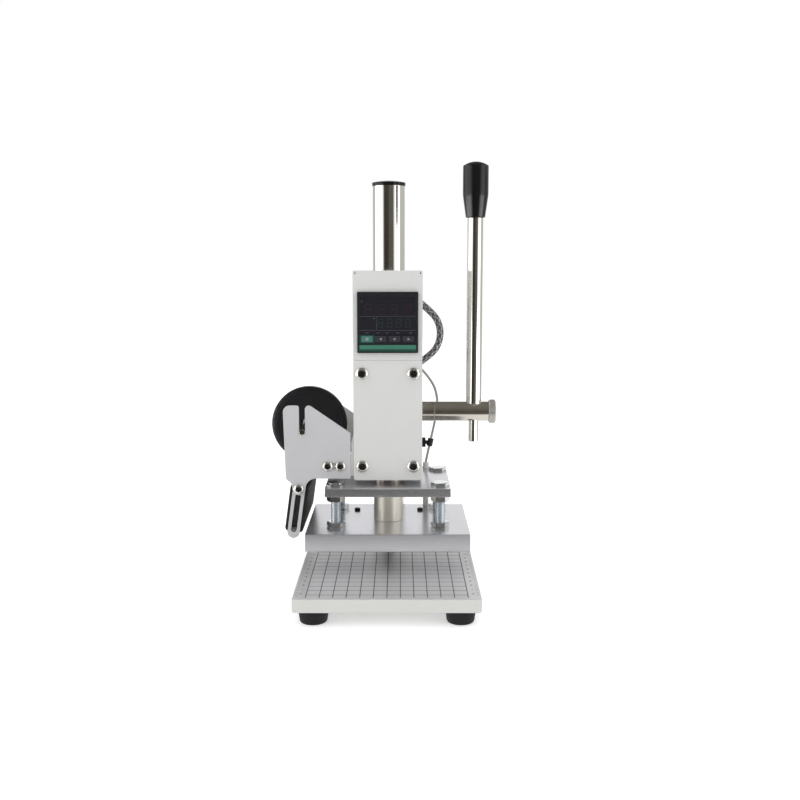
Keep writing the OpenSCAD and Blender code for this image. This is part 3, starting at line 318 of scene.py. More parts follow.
# ground and nickelled steel: warm grey, soft reflections
groundSteel = makeFinish("nickelledSteel", {
    "light": "#E3DFD6", "dark": "#D4CFC5", "patch": 10, "grain": 0.35, "rough": (0.13, 0.19), "metal": 1.0,
})
# ground steel pillar: satin
satinSteel = makeFinish("satinSteel", {
    "light": "#F2EDE0", "dark": "#E8E2D4", "patch": 10, "grain": 0.35, "rough": (0.32, 0.40), "metal": 0.55,
})
# knurled and blasted steel of the end cap
knurledSteel = makeFinish("blastedSteel", {
    "light": "#DEDDD8", "dark": "#CECDC8", "patch": 4, "grain": 0.4, "rough": (0.28, 0.38), "depth": 0.02,
    "metal": 0.8,
})
# polished stainless screw heads
screwSteel = makeFinish("polishedStainless", {
    "light": "#F0EEEA", "dark": "#E4E2DD", "patch": 3, "grain": 0.3, "rough": (0.14, 0.22), "metal": 0.92,
})
# painted shade inside a screw's socket: its walls and floor are coloured dark, as a deep socket falls into
# its own shade
paintedSocketShade = makeFinish("socketPaintedShade", {
    "light": "#37332E", "dark": "#26231F", "patch": 1.5, "grain": 0.3, "rough": (0.40, 0.55), "metal": 0.4,
})
# bright zinc plating with its blue passivation
zincSteel = makeFinish("blueZincPlate", {
    "light": "#D2DAE0", "dark": "#C0CAD1", "patch": 4, "grain": 0.4, "rough": (0.20, 0.30), "metal": 0.65,
})
# the same plating on the flat facets of heads and nuts: a mirror
facetZinc = makeFinish("brightZincFacet", {
    "light": "#EEF0F1", "dark": "#E2E6E8", "patch": 4, "grain": 0.4, "rough": (0.12, 0.20), "metal": 0.97,
})
# black oxide on hardened steel
blackOxide = makeFinish("blackOxide", {
    "light": "#2B2B2D", "dark": "#1C1C1E", "patch": 3, "grain": 0.3, "rough": (0.34, 0.48), "metal": 0.7,
})
# oiled machine steel inside the head
machineSteel = makeFinish("oiledSteel", {
    "light": "#8E8D8B", "dark": "#747370", "patch": 6, "grain": 0.4, "rough": (0.24, 0.36), "metal": 1.0,
})
# cast bronze of the bushes, turned
bronze = makeFinish("turnedBronze", {
    "light": "#B98A4E", "dark": "#9F7440", "patch": 5, "grain": 0.4, "stretch": (1, 1, 3),
    "rough": (0.26, 0.38), "depth": 0.015, "metal": 1.0,
})
# moulded phenolic resin of the knob and the column's cap: deep black, polished
phenolic = makeFinish("polishedPhenolic", {
    "light": "#18181A", "dark": "#121214", "patch": 8, "grain": 0.8, "rough": (0.14, 0.20), "ior": 1.38,
})
# moulded black nylon and ABS: low gloss with a fine spark grain
blackPlastic = makeFinish("mouldedBlackPlastic", {
    "light": "#1C1C20", "dark": "#151518", "patch": 10, "grain": 0.5, "rough": (0.38, 0.50), "depth": 0.03,
    "ior": 1.42,
})
# black rubber feet: dull, slightly dusty
rubber = makeFinish("blackRubber", {
    "light": "#191919", "dark": "#101010", "patch": 4, "grain": 0.5, "rough": (0.60, 0.78), "depth": 0.05,
    "relief": 0.3, "ior": 1.42,
})
# near-black, rough steel channel of the foil guide, brushed along Y
channelSteel = makeFinish("nearBlackChannel", {
    "light": "#343431", "dark": "#20201E", "patch": 8, "grain": 0.4, "stretch": (1, 0.03, 1),
    "rough": (0.58, 0.74), "depth": 0.012, "relief": 0.1, "ior": 1.26,
})
# galvanised inner sheet of the box
innerSheet = makeFinish("galvanisedSheet", {
    "light": "#D4D4D2", "dark": "#C8C8C5", "patch": 9, "grain": 0.8, "rough": (0.34, 0.46), "depth": 0.03,
})
# woven glass sleeve where the thin lead meets the plate
glassSleeve = makeFinish("glassFibreSleeve", {
    "light": "#F4F3EE", "dark": "#E4E2DA", "patch": 3, "grain": 0.5, "stretch": (1, 1, 0.4),
    "rough": (0.55, 0.70), "depth": 0.12, "relief": 0.5,
})
# tinned and darkened wires of the hose, soft grey braid of the thin lead, dull rubber inside the hose
hoseBright = makeFinish("tinnedWire", {
    "light": "#DAD9D7", "dark": "#A6A6A6", "patch": 2.5, "grain": 0.25, "rough": (0.22, 0.36), "metal": 1.0,
})
hoseDull = makeFinish("darkenedWire", {
    "light": "#88888C", "dark": "#4E4E54", "patch": 2.5, "grain": 0.25, "rough": (0.28, 0.42), "metal": 1.0,
})
leadBraid = makeFinish("greyBraid", {
    "light": "#B5B4B0", "dark": "#9C9B97", "patch": 1.2, "grain": 0.25, "rough": (0.45, 0.60),
})
hoseCore = makeFinish("darkHoseLiner", {
    "light": "#36363A", "dark": "#242428", "patch": 2, "grain": 0.4, "rough": (0.45, 0.6), "depth": 0.02,
})
# controller: moulded case, smoked window, printed marks and rubber keys
caseBlack = makeFinish("controllerCase", {
    "light": "#24242A", "dark": "#1E1E23", "patch": 12, "grain": 0.4, "rough": (0.30, 0.40), "depth": 0.02,
})
windowDark = makeFinish("smokedWindow", {
    "light": "#25252C", "dark": "#212127", "patch": 20, "grain": 2.0, "rough": (0.12, 0.18), "ior": 1.45,
})
digitRed = makeInk("unlitRedSegment", "#302329", "#2C1F25", 4, 0.5, (0.24, 0.32))
digitGreen = makeInk("unlitGreenSegment", "#283434", "#242F2E", 4, 0.5, (0.24, 0.32))
printGrey = makeInk("printedGrey", "#4C4F59", "#454852", 3, 0.3, (0.34, 0.44))
printPale = makeInk("printedPaleGrey", "#8E8E96", "#808088", 3, 0.3, (0.34, 0.44))
printTeal = makeInk("printedTeal", "#3A8069", "#347560", 6, 0.4, (0.32, 0.42))
printDeep = makeInk("printedDeepGreen", "#1E4A41", "#1A423A", 6, 0.4, (0.32, 0.42))
keyGreen = makeFinish("greenRubberKey", {
    "light": "#3F7A6E", "dark": "#376C61", "patch": 3, "grain": 0.4, "rough": (0.42, 0.54), "depth": 0.02,
})
keyDark = makeFinish("darkRubberKey", {
    "light": "#32323B", "dark": "#2C2C34", "patch": 3, "grain": 0.4, "rough": (0.42, 0.54), "depth": 0.02,
})
# satin nylon of the rocker behind
switchGrey = makeFinish("greyRocker", {
    "light": "#2A2A2D", "dark": "#222225", "patch": 4, "grain": 0.4, "rough": (0.28, 0.38), "depth": 0.01,
})
# matt screen ink of the base's grid and rulers
gridInk = makeInk("gridInk", "#66666D", "#5A5A61", 3, 0.4, (0.40, 0.52))
rulerInk = makeInk("rulerInk", "#76767B", "#6A6A70", 3, 0.4, (0.40, 0.52))
print("materials made:", len(bpy.data.materials))


# cords: routes repeated from the part, as X and Z in mm in a plane of constant Y
def smoothPath(route, y, perSpan):
    # an even curve through the route's points
    points = [Vector((x, y, z)) for x, z in route]
    points = [2 * points[0] - points[1]] + points + [2 * points[-1] - points[-2]]
    path = []
    for i in range(1, len(points) - 2):
        a, b, c, d = points[i - 1:i + 3]
        for k in range(perSpan):
            t = k / perSpan
            path.append(0.5 * (2 * b + (c - a) * t + (2 * a - 5 * b + 4 * c - d) * t ** 2
                               + (3 * b - a - 3 * c + d) * t ** 3))
    path.append(points[-2])
    return path


def tubeMesh(name, rings):
    # a closed tube through rings of points
    sides = len(rings[0])
    points = [point * mm for ring in rings for point in ring]
    faces = []
    for i in range(len(rings) - 1):
        for k in range(sides):
            a, b = i * sides + k, i * sides + (k + 1) % sides
            faces.append((a, b, b + sides, a + sides))
    faces.append(tuple(reversed(range(sides))))
    faces.append(tuple(range(len(points) - sides, len(points))))
    mesh = bpy.data.meshes.new(name)
    mesh.from_pydata(points, [], faces)
    piece = bpy.data.objects.new(name, mesh)
    bpy.context.scene.collection.objects.link(piece)
    return piece


def levelFrames(path):
    # sideways and across at each point of a path in a plane of constant Y
    frames = []
    for i, point in enumerate(path):
        along = (path[min(i + 1, len(path) - 1)] - path[max(i - 1, 0)]).normalized()
        across = Vector((0, 1, 0))
        frames.append((point, across.cross(along), across))
    return frames


def roundTube(name, path, radius, sides):
    rings = []
    for point, side, across in levelFrames(path):
        ring = []
        for k in range(sides):
            angle = 2 * math.pi * k / sides
            ring.append(point + radius * (math.cos(angle) * side + math.sin(angle) * across))
        rings.append(ring)
    return tubeMesh(name, rings)


def braid(name, path, look):
    # flat wires wound both ways about a path, each over one and under the next
    frames = levelFrames(path)
    lengths = [0.0]
    for i in range(1, len(path)):
        lengths.append(lengths[-1] + (path[i] - path[i - 1]).length)
    strands = []
    for way in (1, -1):
        for k in range(look["wires"]):
            line = []
            for (point, side, across), run in zip(frames, lengths):
                turn = 2 * math.pi * run / look["lay"]
                angle = 2 * math.pi * k / look["wires"] + way * turn
                outward = math.cos(angle) * side + math.sin(angle) * across
                lift = way * look["lift"] * math.cos(look["wires"] * turn)
                line.append((point + (look["radius"] + lift) * outward, outward))
            rings = []
            for i, (spot, outward) in enumerate(line):
                ahead = (line[min(i + 1, len(line) - 1)][0] - line[max(i - 1, 0)][0]).normalized()
                flat = ahead.cross(outward).normalized()
                rings.append([
                    spot + look["wide"] * flat, spot + look["thick"] * outward,
                    spot - look["wide"] * flat, spot - look["thick"] * outward,
                ])
            strand = tubeMesh(name, rings)
            strand.data.materials.append(look["finishes"][k % len(look["finishes"])])
            strands.append(strand)
    piece = joined(strands)
    turnOutwards(piece)
    smoothBy(piece, 60)
    return piece


headLow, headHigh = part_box("head_body")
hoseRoute = [  # from the head's top right edge
    (-2.3, 44.9), (2.1, 41.2), (4.9, 38.9), (7.4, 36.5), (10, 33.9), (12.3, 31), (14, 27.9),
    (15.2, 24.6), (15.9, 21.3), (16.1, 18), (15.9, 14.7), (15.2, 11.4), (14, 8.1), (12.3, 5),
    (10, 2.1), (7.2, -0.4), (2.4, -4.3), (-2.2, -7.6), (-6.6, -10.6),
]
hose = {
    "wires": 12, "lay": 26.0, "radius": 2.6, "lift": 0.13, "wide": 0.52, "thick": 0.2, "core": 2.5,
    "diameter": 0.006, "finishes": (hoseBright, hoseDull, hoseDull), "stiffness": "stiff",
}


def cordPiece(name, path, look, coreFinish):
    # braid and core as one piece; diameter in m
    liner = roundTube(name, path, look["core"], 16)
    smoothBy(liner, 60)
    liner.data.materials.append(coreFinish)
    piece = joined([braid(name, path, look), liner])
    piece.name = name
    piece.data.name = name
    return piece


hosePoints = [(headHigh.x / mm + x, headHigh.z / mm + z) for x, z in hoseRoute]
hosePath = smoothPath(hosePoints, midOf("sleeved_cable")[1], 16)
sleevedHose = cordPiece("hose_braided", hosePath, hose, hoseCore)
seat(sleevedHose, "hose_braided", None, "head", "metal_sleeve", "sleeved_cable")

leadRoute = [  # from the head's bottom right edge
    (-2.1, 84.4), (1.5, 81.2), (4.7, 77.6), (7.5, 74), (10, 70.2), (11.9, 66.4), (13.2, 62.6),
    (14, 58.8), (14.5, 55), (14.6, 51.5), (14.4, 47.5), (13.9, 43.5), (13.2, 39.5), (12.3, 35.5),
    (10.7, 28), (9.1, 20.8), (7.5, 13.5), (6, 6.5), (4.8, 0.5),
]
lead = {
    "wires": 6, "lay": 8.0, "radius": 0.93, "lift": 0.07, "wide": 0.36, "thick": 0.1, "core": 0.88,
    "diameter": 0.0022, "finishes": (leadBraid,), "stiffness": "medium",
}
leadPoints = [(headHigh.x / mm + x, headLow.z / mm + z) for x, z in leadRoute]
leadPath = smoothPath(leadPoints, midOf("heater_lead")[1], 13)
heaterLead = cordPiece("heater_lead_braided", leadPath, lead, leadBraid)
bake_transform(heaterLead)
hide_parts("heater_lead")
print("hose and lead made")

# CAD nodes that show as they are, and those inside the head, get their finish in place
keptNodes = {
    "foot_screws": screwSteel, "column_bolt": zincSteel, "lower_bush": bronze, "upper_bush": bronze,
    "left_bush": bronze, "ram": groundSteel, "ram_bolt": machineSteel, "heaters": machineSteel,
    "temperature_probe": machineSteel, "pinion": machineSteel, "pinion_key": machineSteel,
}
for node, finish in keptNodes.items():
    nodes[node].data.materials.clear()
    nodes[node].data.materials.append(finish)

# plates, covers and shafts keep their CAD shape with softened edges: node, finish, body, slot, edge in mm
softPieces = [
    ("base_plate", edgePaint, "base", "silver_plate", 0.6),
    ("feet", rubber, "base", "black_rubber", 0.4),
    ("column", chrome, "base", "chrome", 0.5),
    ("column_cap", phenolic, "base", "black_gloss", 0.15),
    ("head_body", castPaint, "head", "painted_casting", 0.9),
    ("front_cover", whitePaint, "head", "white_paint", 0.5),
    ("shaft_sleeve", groundSteel, "head", "bright_steel", 0.4),
    ("lead_clip", blackPlastic, "head", "black_plastic", 0.4),
    ("box_shell", whitePaint, "head", "white_paint", 0.4),
    ("box_base", innerSheet, "head", "plain_sheet", 0.3),
    ("controller", caseBlack, "head", "controller_case", 0.12),
    ("controller_window", windowDark, "head", "display_window", 0.25),
    ("cord_gland", blackPlastic, "head", "black_plastic", 0.15),
    ("switch_body", blackPlastic, "head", "black_plastic", 0.3),
    ("foil_mount", whitePaint, "head", "white_paint", 0.4),
    # the front sheet is white paint; its grey finish is painted shade
    ("front_foil_plate", shadedWhiteSheetPaint, "head", "white_paint", 0.35),
    ("rear_foil_plate", whitePaint, "head", "white_paint", 0.35),
    ("reel_shaft", groundSteel, "head", "bright_steel", 0.5),
    ("clamp_screws", blackOxide, "head", "dark_steel", 0.25),
    ("reel_disc", blackPlastic, "reel", "black_plastic", 0.4),
    ("guide_channel", channelSteel, "guide", "chrome", 0.4),
    ("guide_links", shadedWhiteSheetPaint, "guide", "white_paint", 0.3),
    ("pillar", satinSteel, "press", "bright_steel", 0.4),
    ("upper_plate", plateAluminium, "press", "machined_aluminium", 0.3),
    ("heating_plate", plateAluminium, "press", "machined_aluminium", 0.3),
    ("lead_sleeve", glassSleeve, "press", "white_sleeve", 0.4),
    ("lever_shaft", groundSteel, "lever", "bright_steel", 0.4),
    ("lever_rod", chrome, "lever", "chrome", 0.5),
    ("set_key", keyGreen, "set_key", "green_key", 0.3),
    ("shift_key", keyDark, "shift_key", "dark_key", 0.3),
    ("down_key", keyDark, "down_key", "dark_key", 0.3),
    ("up_key", keyDark, "up_key", "dark_key", 0.3),
    ("switch_rocker", switchGrey, "rocker", "grey_plastic", 0.15),
]

# what is merged: loose points, slivers and empty faces in mm, flat faces in degrees
weld = {"loose": 0.004, "flat": 0.5, "sliver": 0.003, "empty": 0.002}


def softened(node, edge):
    # loose triangles are merged, and flat ones made one face, before the edges are bevelled
    piece = copied(nodes[node])
    pickOnly(piece)
    bpy.ops.mesh.customdata_custom_splitnormals_clear()
    openAll(piece)
    bpy.ops.mesh.remove_doubles(threshold=weld["loose"] * mm)
    bpy.ops.mesh.dissolve_limited(angle_limit=math.radians(weld["flat"]))
    closeEdit()
    softenEdges(piece, edge)
    return piece


shaped = {}
for node, finish, body, slot, edge in softPieces:
    piece = softened(node, edge)
    shaped[node] = seat(piece, node + "_finished", finish, body, slot, node)
print("plates, covers and shafts softened:", len(shaped))

# base plate: silver film on top, lacquered edge; the grid and rulers are printed lines
film = {"facing": 0.9, "lowest": -0.2}
basePlate = shaped["base_plate"]
basePlate.data.materials.append(baseFilm)
for face in basePlate.data.polygons:
    if face.normal.z > film["facing"] and face.center.z > film["lowest"] * mm:
        face.material_index = 1

grid = {
    "pitch": 10.0, "line": 0.75, "ink": 0.05, "crossLine": 0.6, "crossInk": 0.04, "halfWidth": 60.0,
    "front": -95.0, "back": 95.0, "overrun": 6.0, "tick": 2.4, "tickLine": 0.45, "ruler": 67.5,
    "digit": 4.4, "digitPlace": 64.2,
}


def lineRow(size, first, step, count):
    # one printed line, repeated by an array
    line = block(size, first)
    row = line.modifiers.new("row", "ARRAY")
    row.use_relative_offset = False
    row.use_constant_offset = True
    row.constant_offset_displace = [value * mm for value in step]
    row.count = count
    applyModifiers(line)
    return line


gridRows = int((grid["back"] - grid["front"]) / grid["pitch"]) + 1
gridLength = grid["back"] - grid["front"] + grid["overrun"]
gridMiddle = (grid["back"] + grid["front"] - grid["overrun"]) / 2
lengthwise = lineRow(
    (grid["line"], gridLength, grid["ink"]), (-grid["halfWidth"], gridMiddle, grid["ink"] / 2),
    (grid["pitch"], 0, 0), int(2 * grid["halfWidth"] / grid["pitch"]) + 1,
)
crosswise = lineRow(
    (2 * grid["halfWidth"] + grid["line"], grid["crossLine"], grid["crossInk"]),
    (0, grid["front"], grid["crossInk"] / 2), (0, grid["pitch"], 0), gridRows,
)
seat(lengthwise, "base_grid_lengthwise", gridInk, "base", "silver_plate")
seat(crosswise, "base_grid_crosswise", gridInk, "base", "silver_plate")

tickRows = []
for side in (-1, 1):
    tickRows.append(lineRow(
        (grid["tick"], grid["tickLine"], grid["ink"]), (side * grid["ruler"], grid["front"], grid["ink"] / 2),
        (0, grid["pitch"] / 2, 0), 2 * gridRows - 1,
    ))


def flatNumber(number, spot):
    # a plain number laid on the plate
    pickNone()
    bpy.ops.object.text_add()
    text = bpy.context.object
    text.data.body = str(number)
    text.data.size = grid["digit"] * mm
    text.data.align_x = "CENTER"
    text.data.align_y = "CENTER"
    text.data.extrude = grid["ink"] / 2 * mm
    bpy.ops.object.convert(target="MESH")
    piece = bpy.context.object
    place(piece, spot)
    return piece


numbers = []
for i in range(gridRows):
    for side in (-1, 1):
        y = grid["front"] + i * grid["pitch"] + grid["pitch"] / 4
        numbers.append(flatNumber(i, (side * grid["digitPlace"], y, grid["ink"] / 2)))
seat(joined(tickRows + numbers), "base_rulers", rulerInk, "base", "silver_plate")
print("base plate printed")


# screws: turned heads with a hexagon socket, modelled once and copied
def buttonScrew(look):
    rim = 0.12 * look["headHigh"]  # the straight edge under the dome
    steps = 6
    domeRings = []
    for i in range(steps + 1):
        angle = math.radians(90 * i / steps)
        radius = look["flat"] / 2 + (look["head"] - look["flat"]) / 2 * math.cos(angle)
        domeRings.append((radius, rim + (look["headHigh"] - rim) * math.sin(angle)))
    rings = [(look["shank"] / 2, -look["long"]), (look["shank"] / 2, 0), (look["head"] / 2, 0)] + domeRings
    return socketed(turned(rings, 40), look)


def capScrew(look):
    radius, edge = look["head"] / 2, look["edge"]
    rings = [
        (look["shank"] / 2, -look["long"]), (look["shank"] / 2, 0), (radius - edge, 0), (radius, edge),
        (radius, look["headHigh"] - edge), (radius - edge, look["headHigh"]),
    ]
    return socketed(turned(rings, 40), look)


def socketed(piece, look):
    # a hexagon socket whose walls and floor carry painted shade, a dark colour in place of real shading
    pickNone()
    bpy.ops.mesh.primitive_cylinder_add(
        vertices=6, radius=look["socket"] / math.sqrt(3) * mm, depth=2 * look["deep"] * mm,
        location=(0, 0, look["headHigh"] * mm))
    cutWith(piece, bpy.context.object, "DIFFERENCE")
    piece.data.materials.append(look["finish"])
    # the second finish is painted shade for the socket's inside
    piece.data.materials.append(paintedSocketShade)
    reach = 0.6 * look["socket"]  # just past the hexagon's corners
    # from a little under the socket's floor to just inside its mouth
    bottom, mouth = look["headHigh"] - 1.1 * look["deep"], look["headHigh"] - 0.05
    for face in piece.data.polygons:
        near = math.hypot(face.center.x, face.center.y) < reach * mm
        lowered = bottom < face.center.z / mm < mouth
        face.material_index = 1 if near and lowered else 0
    smoothBy(piece, 30)
    return piece


frontTurn, rearTurn, leftTurn, rightTurn = (90, 0, 0), (-90, 0, 0), (0, -90, 0), (0, 90, 0)

coverScrew = {
    "head": 10.5, "headHigh": 3.0, "flat": 5.6, "shank": 6.0, "long": 14.0,
    "socket": 5.0, "deep": 2.0, "finish": screwSteel, "xs": (-20.5, 20.5), "zs": (82.5, 157.5), "twist": 17,
}
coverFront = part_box("front_cover")[0].y / mm
coverSpots = []
for x in coverScrew["xs"]:
    for z in coverScrew["zs"]:
        coverSpots.append(((x, coverFront, z), (90, coverScrew["twist"] * (x + z), 0)))
coverScrews = spread(buttonScrew(coverScrew), coverSpots)
seat(coverScrews, "cover_screws_turned", None, "head", "bright_steel", "cover_screws")

foilScrew = {
    "head": 8.75, "headHigh": 2.75, "flat": 4.6, "shank": 5.0, "long": 5.0,
    "socket": 4.0, "deep": 1.6, "finish": screwSteel, "xs": (-48.4, -38.2), "level": 82.5,
}
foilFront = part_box("front_foil_plate")[0].y / mm
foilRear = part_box("rear_foil_plate")[1].y / mm
foilSpots = []
for x in foilScrew["xs"]:
    foilSpots.append(((x, foilFront, foilScrew["level"]), frontTurn))
    foilSpots.append(((x, foilRear, foilScrew["level"]), rearTurn))
foilScrews = spread(buttonScrew(foilScrew), foilSpots)
seat(foilScrews, "foil_screws_turned", None, "head", "bright_steel", "foil_plate_screws")

pivotScrew = {**foilScrew, "long": 8.0}
pivotX, pivotZ = midOf("pivot_screws")[0], midOf("pivot_screws")[2]
pivotSpots = [((pivotX, foilFront, pivotZ), frontTurn), ((pivotX, foilRear, pivotZ), rearTurn)]
pivotScrews = spread(buttonScrew(pivotScrew), pivotSpots)
seat(pivotScrews, "pivot_screws_turned", None, "head", "bright_steel", "pivot_screws")

mountScrew = {
    "head": 7.0, "headHigh": 2.0, "flat": 3.8, "shank": 4.0, "long": 9.0,
    "socket": 3.0, "deep": 1.3, "finish": screwSteel,
}
mountLow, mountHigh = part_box("mount_screws")
mountFace = mountLow.x / mm + mountScrew["headHigh"]
mountSpots = []
for y in (mountLow.y / mm + mountScrew["head"] / 2, mountHigh.y / mm - mountScrew["head"] / 2):
    mountSpots.append(((mountFace, y, midOf("mount_screws")[2]), leftTurn))
mountScrews = spread(buttonScrew(mountScrew), mountSpots)
seat(mountScrews, "mount_screws_turned", None, "head", "bright_steel", "mount_screws")

sideScrew = {
    "head": 5.2, "headHigh": 1.5, "flat": 2.8, "shank": 3.0, "long": 4.8,
    "socket": 2.2, "deep": 1.0, "finish": screwSteel,
}
sideLow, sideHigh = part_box("box_screws")
sideSpots = []
for z in (sideLow.z / mm + sideScrew["head"] / 2, sideHigh.z / mm - sideScrew["head"] / 2):
    for side, turn in ((-1, leftTurn), (1, rightTurn)):
        face = side * (sideHigh.x / mm - sideScrew["headHigh"])
        sideSpots.append(((face, midOf("box_screws")[1], z), turn))
sideScrews = spread(buttonScrew(sideScrew), sideSpots)
seat(sideScrews, "box_screws_turned", None, "head", "bright_steel", "box_screws")

heaterScrew = {
    "head": 5.0, "headHigh": 1.8, "edge": 0.3, "shank": 3.0, "long": 2.4,
    "socket": 2.5, "deep": 1.0, "finish": blackOxide,
}
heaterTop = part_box("heating_plate")[1].z / mm
heaterY = midOf("heater_screws")[1]
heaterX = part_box("heater_screws")[1].x / mm - heaterScrew["head"] / 2
heaterSpots = [((side * heaterX, heaterY, heaterTop), (0, 0, 0)) for side in (-1, 1)]
heaterScrews = spread(capScrew(heaterScrew), heaterSpots)
seat(heaterScrews, "heater_screws_turned", None, "press", "dark_steel", "heater_screws")
print("screws turned")


# plate bolts and nuts: hexagons with turned chamfers, threads as stacked ridges
def hexBody(across, high, chamferBelow):
    pickNone()
    bpy.ops.mesh.primitive_cylinder_add(
        vertices=6, radius=across / math.sqrt(3) * mm, depth=high * mm, location=(0, 0, high / 2 * mm))
    piece = bpy.context.object
    bpy.ops.object.transform_apply(location=True, rotation=True, scale=True)
    seatRadius, corner = 0.48 * across, 0.6 * across  # the flat's circle, and just past the corners
    slope = (corner - seatRadius) * math.tan(math.radians(30))
    below = [(seatRadius, 0), (corner, slope)] if chamferBelow else [(corner, 0)]
    cutWith(piece, turned(below + [(corner, high - slope), (seatRadius, high)], 48), "INTERSECT")
    openAll(piece)
    bpy.ops.mesh.remove_doubles(threshold=weld["sliver"] * mm)
    bpy.ops.mesh.dissolve_degenerate(threshold=weld["empty"] * mm)
    closeEdit()
    smoothBy(piece, 20)
    return piece


plateBolt = {
    "thread": 8.0, "pitch": 1.25, "ridge": 0.4, "crest": (0.42, 0.58), "runIn": 0.5, "runOut": 0.3,
    "across": 13.0, "flatToFront": 30, "upperNut": 6.8, "lowerNut": 4.0,
}
boltLow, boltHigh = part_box("plate_bolts")
nutLow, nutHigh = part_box("plate_nuts")
# the CAD hexagons have corners along X and flats along Y
cornerReach, flatReach = plateBolt["across"] / math.sqrt(3), plateBolt["across"] / 2
boltXs = (boltLow.x / mm + cornerReach, boltHigh.x / mm - cornerReach)
boltYs = (boltLow.y / mm + flatReach, boltHigh.y / mm - flatReach)
corners = [(x, y) for x in boltXs for y in boltYs]
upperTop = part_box("upper_plate")[1].z / mm
lowerNut, upperNut = nutLow.z / mm, nutHigh.z / mm - plateBolt["upperNut"]
ridges = []
plain, pitch = plateBolt["thread"] / 2, plateBolt["pitch"]
height = lowerNut + plateBolt["lowerNut"] - 2 * pitch
while height < upperNut + 2 * pitch:
    ridges.append((plain - plateBolt["ridge"], height))
    ridges += [(plain, height + share * pitch) for share in plateBolt["crest"]]
    height += pitch
below = [(plain, boltLow.z / mm), (plain, ridges[0][1] - plateBolt["runIn"])]
stud = turned(below + ridges + [(plain, height + plateBolt["runOut"]), (plain, upperTop)], 36)
smoothBy(stud, 50)
boltHead = hexBody(plateBolt["across"], boltHigh.z / mm - upperTop, False)
place(boltHead, (0, 0, upperTop))
boltSpots = [((x, y, 0), (0, 0, plateBolt["flatToFront"])) for x, y in corners]
stud.data.materials.append(zincSteel)
boltHead.data.materials.append(facetZinc)
plateBolts = spread(joined([stud, boltHead]), boltSpots)
seat(plateBolts, "plate_bolts_threaded", None, "press", "zinc_steel", "plate_bolts")

nutSets = []
for tall, level in ((plateBolt["lowerNut"], lowerNut), (plateBolt["upperNut"], upperNut)):
    spots = [((x, y, level), (0, 0, plateBolt["flatToFront"])) for x, y in corners]
    nutSets.append(spread(hexBody(plateBolt["across"], tall, True), spots))
seat(joined(nutSets), "plate_nuts_chamfered", facetZinc, "press", "zinc_steel", "plate_nuts")

pivotNut = {"across": 8.0, "high": 3.2}
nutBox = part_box("pivot_nuts")
pivotNutSpots = [
    ((pivotX, nutBox[0].y / mm + pivotNut["high"], pivotZ), frontTurn),
    ((pivotX, nutBox[1].y / mm - pivotNut["high"], pivotZ), rearTurn),
]
pivotNuts = spread(hexBody(pivotNut["across"], pivotNut["high"], True), pivotNutSpots)
seat(pivotNuts, "pivot_nuts_chamfered", facetZinc, "head", "bright_steel", "pivot_nuts")
print("bolts and nuts made")

# pins on the channel's ends, at the lower ends of the links' slots
guidePin = {"wide": 4.3, "high": 1.8, "edge": 0.4, "crown": 0.08, "down": 34.5, "lean": 8.0}
pinRadius = guidePin["wide"] / 2
pin = turned([
    (pinRadius, 0), (pinRadius, guidePin["high"] - guidePin["edge"] - guidePin["crown"]),
    (pinRadius - guidePin["edge"], guidePin["high"] - guidePin["crown"]), (pinRadius / 3, guidePin["high"]),
], 32)
smoothBy(pin, 30)
lean = math.radians(guidePin["lean"])
pinX, pinZ = pivotX - guidePin["down"] * math.sin(lean), pivotZ - guidePin["down"] * math.cos(lean)
channelLow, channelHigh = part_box("guide_channel")
pinSpots = [((pinX, channelLow.y / mm, pinZ), frontTurn), ((pinX, channelHigh.y / mm, pinZ), rearTurn)]
seat(spread(pin, pinSpots), "guide_pins_turned", machineSteel, "guide", "dark_steel")

# moulded rim line on the reel's face
reelRim = {"radius": 28.0, "bead": 0.35}
reelMiddle = midOf("reel_disc")
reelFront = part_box("reel_disc")[0].y / mm
pickNone()
bpy.ops.mesh.primitive_torus_add(
    major_segments=96, minor_segments=10, major_radius=reelRim["radius"] * mm,
    minor_radius=reelRim["bead"] * mm)
rimLine = bpy.context.object
bpy.ops.object.shade_smooth()
place(rimLine, (reelMiddle[0], reelFront, reelMiddle[2]), frontTurn)
seat(rimLine, "reel_rim_line", blackPlastic, "reel", "black_plastic")

# lever knob and end cap
knob = {
    "neck": 16.0, "neckEdge": 0.5, "wide": 21.0, "taper": 18.0, "bend": (-1.5, 1.0), "bendIn": 0.25,
    "dome": 3.4, "domeRings": (10.3, 9.6, 8.0, 6.0, 4.0, 2.0, 0.6), "edge": 0.4,
}
knobLow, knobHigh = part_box("lever_knob")
knobTall = (knobHigh.z - knobLow.z) / mm
neckRadius, knobRadius = knob["neck"] / 2, knob["wide"] / 2
domeRadius = (knob["dome"] ** 2 + knobRadius ** 2) / (2 * knob["dome"])
bendStart, bendEnd = (knob["taper"] + step for step in knob["bend"])
rings = [(neckRadius - knob["neckEdge"], 0), (neckRadius, knob["neckEdge"])]
rings += [(knobRadius - knob["bendIn"], bendStart), (knobRadius, bendEnd)]
rings.append((knobRadius, knobTall - knob["dome"] - knob["edge"]))
for radius in knob["domeRings"]:
    rings.append((radius, knobTall - domeRadius + math.sqrt(domeRadius ** 2 - radius ** 2)))
leverKnob = turned(rings, 72)
smoothBy(leverKnob, 35)
place(leverKnob, (midOf("lever_knob")[0], midOf("lever_knob")[1], knobLow.z / mm))
seat(leverKnob, "lever_knob_turned", phenolic, "lever", "black_gloss", "lever_knob")

